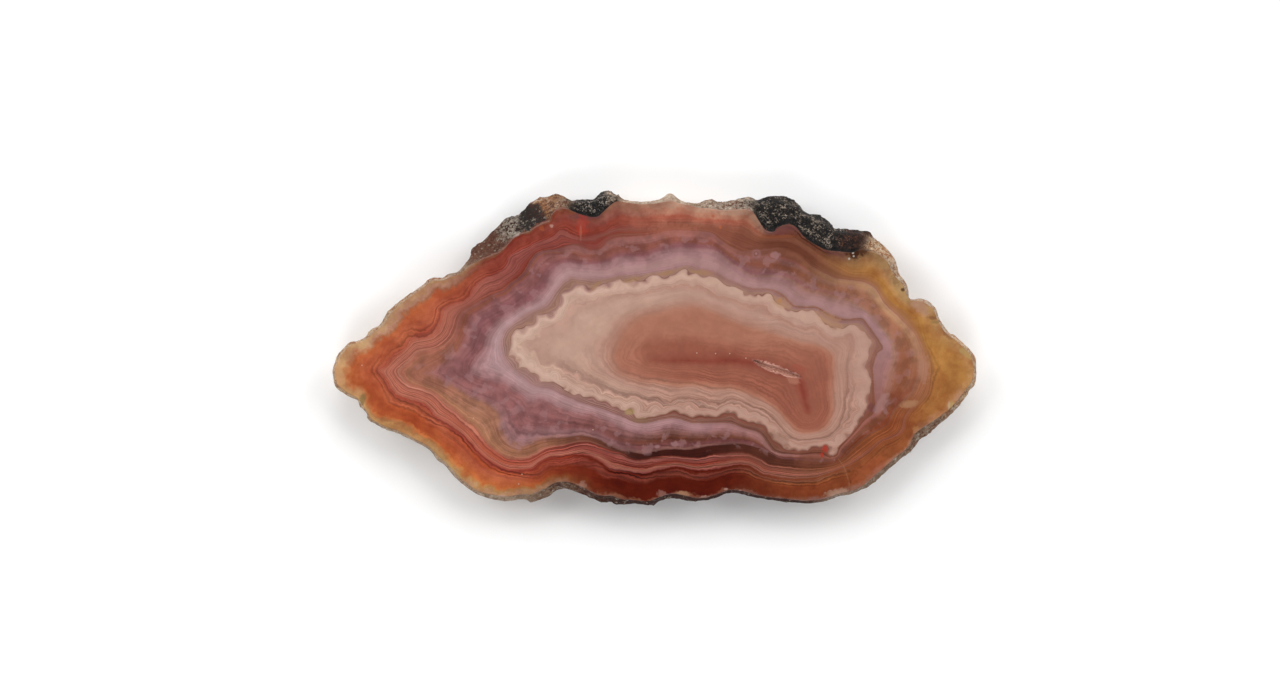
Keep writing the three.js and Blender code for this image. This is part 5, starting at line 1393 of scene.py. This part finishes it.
@dataclass
class AgateSlice:
    """The slice as one closed surface, face, rind, side and back. Sizes are in mm.

    The shift is how far settle moved the points to centre them, x and y.
    """

    thickness: float = 7.0
    stations: int = 600
    face_rings: int = 108
    rind_rings: int = 12
    side_rings: int = 9
    back_rings: int = 56
    hub: tuple[float, float] = (10.0, -1.2)  # where the face's rays start
    seam_calming: int = 4  # rounds that take the sharpest corners off the polished edge
    calming: int = 1  # rounds that take the finest corners off the rings inside the edge
    core_calming: int = 60  # rounds for the shape that the rings take on towards the hub
    foot_calming: int = 24  # rounds for the back's edge
    bay_power: int = 8  # how fast the edge's own bays die out inwards
    face_crowding: float = 0.85  # below 1 crowds the face's rings towards the edge
    rind_crowding: float = 1.25  # above 1 crowds the rind's rings towards the polish
    rind_drop: tuple[float, float] = (0.55, 0.85)  # the least, and what each mm of rind adds
    fall: float = 0.8  # crust drops as this power of the way across the rind
    steepest_drop: float = 4.2
    basalt_drop: float = 2.4  # the most that basalt drops
    saw_step: float = 0.45
    saw_cut: float = 0.1  # share of the rind's width over which the saw's step goes down
    rounding: float = 0.72  # where across the rind basalt starts to round over
    undercut: tuple[float, float] = (0.3, 1.5)
    tuck: float = 1.6  # the side leans in as this power of the way down
    side_rough: float = 0.3
    grain: tuple[float, float] = (0.1, 0.12)  # the rind's finer grains: the least, and more where rough
    side_grain: float = 0.3
    grain_scale: float = 2.9  # finer grains to a mm
    clearance: float = 0.12
    slack: float = 0.01  # how far the slice keeps inside the solid's box
    crisp_core: tuple[float, float] = (6.6, 7.4)  # beds where the core's fine layers take over
    face_scale: float = 0.0097  # of the texture sheet to a mm
    back_scale: float = 0.0073
    rim: Rim = Rim()
    slit: Slit = Slit()
    shift: np.ndarray = field(default_factory=lambda: np.zeros(2))

    def rind_height(self, fraction: float, s: Stations) -> np.ndarray:
        """Height of the rind at a fraction of its width.

        Crust falls away from the polish along a power curve, steepest at the polish.
        Basalt is a saw ledge, one step down, that rounds over in its outer quarter.

        Args:
            fraction: 0 at the polished edge, 1 at the widest line.
            s: the stations.

        Returns:
            One height for each station.
        """
        least, more = self.rind_drop
        drop = np.minimum(least + more * s.rind, self.steepest_drop)
        slope = drop * fraction**self.fall
        outer = float(ease(np.array(fraction), self.rounding, 1.0))
        below = np.minimum(drop, self.basalt_drop) - self.saw_step
        ledge = self.saw_step * min(1.0, fraction / self.saw_cut) + below * outer
        return self.thickness - (slope + (ledge - slope) * s.ledge)

    def ring(self, s: Stations, inset: np.ndarray, height: np.ndarray, rough: np.ndarray,
             grain: np.ndarray) -> np.ndarray:
        """One ring of the skin, pushed about by its lumps and finer grains.

        Args:
            s: the stations.
            inset: how far the ring lies inside the widest line.
            height: its height.
            rough: how strongly the lumps push it.
            grain: how strongly the finer grains do.

        Returns:
            Points, one for each station.
        """
        still = np.column_stack([s.place - s.outward * inset[:, None], height])
        fine = grain * noise(still * self.grain_scale + 5.5)
        push = rough * lumps(still) + fine
        lift = rough * lumps(still[:, [1, 0, 2]] + (31, -17, 0)) + 0.7 * fine
        ceiling = np.where(rough > 0, self.thickness - self.clearance, height)
        out = np.column_stack([still[:, :2] + s.outward * push[:, None], still[:, 2] + lift])
        out[:, 2] = np.clip(out[:, 2], 0.0, ceiling)
        return out

    def skin_rings(self, s: Stations) -> list[tuple[float, np.ndarray]]:
        """Rings from the polished edge over the rind and down to the back's edge.

        Args:
            s: the stations.

        Returns:
            For each ring its depth, 0 to 1 over the rind and 1 to 2 down the side,
            and its points.
        """
        rings = []
        for i in range(self.rind_rings + 1):
            f = (i / self.rind_rings) ** self.rind_crowding
            share = np.interp(f, (0, 0.1, 0.3, 0.7, 0.86, 1), (0, 0.35, 1, 1, 0.9, 0.5))
            grain = (self.grain[0] + self.grain[1] * s.rough) * share
            rings.append((f, self.ring(s, s.rind * (1 - f), self.rind_height(f, s), share * s.rough, grain)))
        for i in range(1, self.side_rings + 1):
            down = i / self.side_rings
            rough = self.side_rough if i < self.side_rings else 0.0
            lumpy = s.rough + rough if rough else np.zeros(self.stations)
            lean = self.undercut[0] + np.ptp(self.undercut) * (0.5 - 0.5 * s.outward[:, 1])
            inset = rough / 2 + lean * down**self.tuck
            fade = min(1.0, 4 * (1 - down))
            height = self.rind_height(1.0, s) * (1 - down)
            rings.append((1 + down, self.ring(s, inset, height, lumpy, fade * self.side_grain * lumpy)))
        rings[-1] = (2.0, calmed(rings[-1][1], self.foot_calming))
        shift = calmed(rings[0][1], self.seam_calming) - rings[0][1]
        return [(depth, points + max(0.0, 1 - depth) * shift) for depth, points in rings]

    def spokes(self, edge: np.ndarray, count: int, power: float) -> np.ndarray:
        """Rings that shrink from a flat edge to the hub.

        A ring lies at a fraction of the way from the hub to a calmed copy of the
        edge; the edge's own small bays are added back as a high power of the fraction.

        Args:
            edge: the outline, x, y.
            count: how many rings, without the edge and the hub.
            power: below 1 crowds the rings towards the edge.

        Returns:
            Points of shape count x stations x 2, from the edge inwards.
        """
        calm = calmed(edge, self.core_calming)
        f = ((np.arange(count, 0, -1) / (count + 1)) ** power)[:, None, None]
        near = calmed(edge, self.calming)
        return np.array(self.hub) + f * (calm - self.hub) + f**self.bay_power * (near - calm)

    def build(self) -> bpy.types.Object:
        """Builds the closed mesh with what each point of the stone knows about itself.

        Returns:
            The slice, undressed.
        """
        s = self.rim.stations(self.stations)
        skin = self.skin_rings(s)
        edge, foot = skin[0][1][:, :2], skin[-1][1][::2, :2]
        rays = self.spokes(edge, self.face_rings, self.face_crowding)[::-1]
        face = np.vstack([[self.hub], rays.reshape(-1, 2)])
        back = np.vstack([self.spokes(foot, self.back_rings, 1.0).reshape(-1, 2), [self.hub]])
        rings = np.vstack([points for _, points in skin])
        points = np.vstack([
            np.column_stack([face, self.thickness - self.slit.sunk(face)]), rings,
            np.column_stack([back, np.zeros(len(back))])])
        off_face, off_rings, off_back = (np.zeros(len(part)) for part in (face, rings, back))
        depths = np.repeat([depth for depth, _ in skin], self.stations)
        hollow = self.slit.sunk(face) / self.slit.depth
        known = {
            "bed": np.concatenate([GROWTH.beds(face, edge), off_rings, GROWTH.beds(back, foot)]),
            "depth": np.concatenate([off_face, depths, off_back + BACK_DEPTH]),
            "ledge": np.concatenate([off_face, np.tile(s.ledge, len(skin)), off_back]),
            "hollow": np.concatenate([hollow, off_rings, off_back]),
        }
        shares = flank_shares(points[:, :2])
        outside, within = (shares @ [flank.crisp[i] for flank in FLANKS] for i in (0, 1))
        known["crisp"] = outside + (within - outside) * ease(known["bed"], *self.crisp_core)
        for i, flank in enumerate(FLANKS):
            known[f"flank_{flank.name}"] = shares[:, i]
        for core in CORES:
            grown = [i for i, flank in enumerate(FLANKS) if flank.core == core]
            known[f"core_{core}"] = shares[:, grown].sum(1)
        self.settle(points)
        strips = self.strips()
        mesh = self.joined(points, strips)
        for name, values in known.items():
            mesh.attributes.new(name, "FLOAT", "POINT").data.foreach_set("value", values.astype(np.float32))
        run = np.concatenate([strip.run.ravel() for strip in strips]).astype(np.float32)
        mesh.attributes.new("run", "FLOAT", "CORNER").data.foreach_set("value", run)
        self.unwrap(mesh, points, known["depth"], strips)
        self.crease(mesh)
        piece = bpy.data.objects.new("agate", mesh)
        bpy.context.scene.collection.objects.link(piece)
        return piece

    def settle(self, points: np.ndarray) -> None:
        """Centres the points over the origin, within the box of the solid they replace."""
        low, high = points.min(0), points.max(0)
        room = np.ptp(np.array(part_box("agate_slice")), axis=0) / MM
        fit = np.minimum(1.0, (room - self.slack) / (high - low))[:2]
        self.shift = -(low + high)[:2] / 2
        points[:, :2] = (points[:, :2] + self.shift) * fit

    def strips(self) -> list[Strip]:
        """Joins neighbouring rings, fans the hubs, and halves the stations at the back's edge.

        Returns:
            The strips in the order face, rind, side, back.
        """
        n, half = self.stations, self.stations // 2
        s, b = np.arange(n), np.arange(half)
        rings = self.face_rings + self.rind_rings + 1 + self.side_rings
        last = 1 + (rings - 1) * n
        back = last + n
        hub = back + self.back_rings * half

        def band(start: int, count: int, size: int, zone: Zone) -> Strip:
            """Quads between each ring and the next, for count pairs of rings."""
            i = np.arange(size)
            first = (start + np.arange(count) * size)[:, None]
            ahead = (i + 1) % size
            quads = np.stack([first + i, first + ahead, first + size + ahead, first + size + i], -1)
            run = np.stack([i, i + 1, i + 1, i], -1) / size
            return Strip(quads.reshape(-1, 4), np.tile(run, (count, 1)), zone)

        a0, a1, a2 = last + 2 * b, last + 2 * b + 1, last + (2 * b + 2) % n
        b0, b1 = back + b, back + (b + 1) % half
        halved = np.stack([a0, a1, b0, a1, b1, b0, a1, a2, b1], -1).reshape(-1, 3)
        halved_run = np.stack([b, b + 0.5, b, b + 0.5, b + 1, b, b + 0.5, b + 1, b + 1], -1) / half
        tail = hub - half
        return [
            Strip(np.stack([0 * s, 1 + (s + 1) % n, 1 + s], -1),
                  np.stack([s + 0.5, s + 1, s], -1) / n, Zone.TOP),
            band(1, self.face_rings + self.rind_rings, n, Zone.TOP),
            band(1 + (self.face_rings + self.rind_rings) * n, self.side_rings, n, Zone.SIDE),
            Strip(halved, halved_run.reshape(-1, 3), Zone.BACK),
            band(back, self.back_rings - 1, half, Zone.BACK),
            Strip(np.stack([tail + b, tail + (b + 1) % half, hub + 0 * b], -1),
                  np.stack([b, b + 1, b + 0.5], -1) / half, Zone.BACK),
        ]

    def joined(self, points: np.ndarray, strips: list[Strip]) -> bpy.types.Mesh:
        """Puts points and strips into a mesh; the back's faces take the second material."""
        mesh = bpy.data.meshes.new("agate")
        sizes = np.concatenate([np.full(len(s.corners), s.corners.shape[1]) for s in strips])
        corners = np.concatenate([strip.corners.ravel() for strip in strips])
        mesh.vertices.add(len(points))
        mesh.vertices.foreach_set("co", (points * MM).astype(np.float32).ravel())
        mesh.loops.add(len(corners))
        mesh.loops.foreach_set("vertex_index", corners.astype(np.int32))
        mesh.polygons.add(len(sizes))
        mesh.polygons.foreach_set("loop_start", np.r_[0, np.cumsum(sizes)[:-1]].astype(np.int32))
        finishes = np.concatenate([np.full(len(s.corners), int(s.zone is Zone.BACK)) for s in strips])
        mesh.polygons.foreach_set("material_index", finishes.astype(np.int32))
        mesh.update(calc_edges=True)
        mesh.validate()
        mesh.shade_smooth()
        return mesh

    def unwrap(self, mesh: bpy.types.Mesh, points: np.ndarray, depth: np.ndarray,
               strips: list[Strip]) -> None:
        """Lays the stone's skin out flat on a square sheet.

        Face and rind lie as seen from above, the back beneath them at a smaller scale,
        and the side as a ribbon along the foot.

        Args:
            mesh: the mesh, whose corners are the strips' corners in order.
            points: the mesh's points in mm.
            depth: each point's depth.
            strips: the strips.
        """
        flat = []
        for strip in strips:
            x, y, _ = points[strip.corners.ravel()].T
            if strip.zone is Zone.TOP:
                uv = np.column_stack([0.5 + x * self.face_scale, 0.75 + y * self.face_scale])
            elif strip.zone is Zone.BACK:
                uv = np.column_stack([0.38 + x * self.back_scale, 0.32 - y * self.back_scale])
            else:
                along = depth[strip.corners.ravel()] - 1
                uv = np.column_stack([0.01 + 0.98 * strip.run.ravel(), 0.12 - 0.11 * along])
            flat.append(uv)
        mesh.uv_layers.new(name="OFBake").data.foreach_set(
            "uv", np.vstack(flat).astype(np.float32).ravel())

    def crease(self, mesh: bpy.types.Mesh) -> None:
        """Keeps the polished edge and the back's edge sharp."""
        ends = np.empty(len(mesh.edges) * 2, np.int32)
        mesh.edges.foreach_get("vertices", ends)
        ring = (ends.reshape(-1, 2) - 1) // self.stations
        polished = self.face_rings
        foot = self.face_rings + self.rind_rings + self.side_rings
        cut = (ring[:, 0] == ring[:, 1]) & ((ring[:, 0] == polished) | (ring[:, 0] == foot))
        mesh.attributes.new("sharp_edge", "BOOLEAN", "EDGE").data.foreach_set("value", cut)

    def dress(self, piece: bpy.types.Object) -> None:
        """Gives the piece its finishes."""
        banding, patch, grit = Banding().build(), Patch().build(), Grit().build()
        piece.data.materials.append(Stone().material(banding, patch, grit, self.shift))
        piece.data.materials.append(SawnBack().material(banding))


# ---- the studio ----


@dataclass(frozen=True)
class Lamp:
    """A square soft box that looks at the slice: bearing and height in degrees, metres, watts."""

    name: str
    bearing: float
    height: float
    away: float
    size: float
    power: float

    def hang(self) -> bpy.types.Object:
        """Hangs the lamp and turns it to the slice."""
        light = bpy.data.lights.new(self.name, "AREA")
        light.shape, light.size, light.energy = "SQUARE", self.size, self.power
        lamp = bpy.data.objects.new(self.name, light)
        bearing, height = math.radians(self.bearing), math.radians(self.height)
        lamp.location = (self.away * math.cos(height) * math.cos(bearing),
                         self.away * math.cos(height) * math.sin(bearing), self.away * math.sin(height))
        lamp.rotation_euler = (math.pi / 2 - height, 0.0, bearing + math.pi / 2)
        bpy.context.scene.collection.objects.link(lamp)
        return lamp


@dataclass(frozen=True)
class Studio:
    """A pale table, four soft boxes round it and a camera that looks straight down."""

    table: float = 3.0
    table_white: float = 0.93
    table_gleam: float = 0.1
    sky: float = 0.15
    lamps: tuple[Lamp, ...] = (
        Lamp("left_box", 150.0, 40.0, 1.3, 0.9, 8.6),
        Lamp("right_box", 30.0, 40.0, 1.3, 0.9, 8.6),
        Lamp("near_box", 265.0, 38.0, 1.4, 0.9, 8.6),
        Lamp("far_box", 90.0, 42.0, 1.4, 0.9, 8.6),
    )
    lens: float = 100.0  # mm
    sensor: float = 36.0  # mm
    aim: tuple[float, float] = (-0.00225, -0.00017)
    height: float = 0.558

    def lay_table(self) -> bpy.types.Object:
        """Lays the table top: a flat square of one face at height 0."""
        reach = self.table / 2
        corners = np.array([(-1, -1, 0), (1, -1, 0), (1, 1, 0), (-1, 1, 0)]) * reach
        mesh = bpy.data.meshes.new("table")
        mesh.from_pydata(corners.tolist(), [], [(0, 1, 2, 3)])
        top = bpy.data.materials.new("white_board")
        top.use_nodes = True
        board = Board(top.node_tree)
        shader = top.node_tree.nodes["Principled BSDF"]
        grain = board.rise(board.noise(board.place(), 0.02, 2.0), 0.3, 0.7, 0.7, 0.8)
        board.feed(shader, "Roughness", grain)
        shader.inputs["Base Color"].default_value = (*(self.table_white,) * 3, 1.0)
        shader.inputs["Specular IOR Level"].default_value = self.table_gleam
        mesh.materials.append(top)
        piece = bpy.data.objects.new("table", mesh)
        bpy.context.scene.collection.objects.link(piece)
        return piece

    def light(self) -> None:
        """Sets the even sky and hangs the lamps."""
        scene = bpy.context.scene
        scene.view_settings.view_transform = "Standard"
        scene.world = bpy.data.worlds.new("studio")
        scene.world.use_nodes = True
        sky = scene.world.node_tree.nodes["Background"]
        sky.inputs["Color"].default_value = (1.0, 1.0, 1.0, 1.0)
        sky.inputs["Strength"].default_value = self.sky
        for lamp in self.lamps:
            lamp.hang()

    def stand_camera(self) -> bpy.types.Object:
        """Hangs the camera over the slice, looking straight down."""
        lens = bpy.data.cameras.new("camera")
        lens.type, lens.lens, lens.sensor_width = "PERSP", self.lens, self.sensor
        lens.clip_start, lens.clip_end = 0.01, 10.0
        camera = bpy.data.objects.new("camera", lens)
        camera.location = (*self.aim, self.height)
        bpy.context.scene.collection.objects.link(camera)
        bpy.context.scene.camera = camera
        return camera


def main() -> None:
    """Builds the slice and its studio."""
    logging.basicConfig(level=logging.INFO, format="%(name)s: %(message)s")
    studio = Studio()
    camera = studio.stand_camera()
    report.info("camera at %s", tuple(round(v, 4) for v in camera.location))
    slice_parts = AgateSlice()
    agate = slice_parts.build()
    slice_parts.dress(agate)
    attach(agate, "root")
    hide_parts("agate_slice")
    agate.data.calc_loop_triangles()
    report.info("agate: %d triangles", len(agate.data.loop_triangles))
    table = studio.lay_table()
    report.info("table: %.1f m square", table.dimensions[0])
    studio.light()
    report.info("studio: %d lamps", len(studio.lamps))


if __name__ == "__main__":
    main()
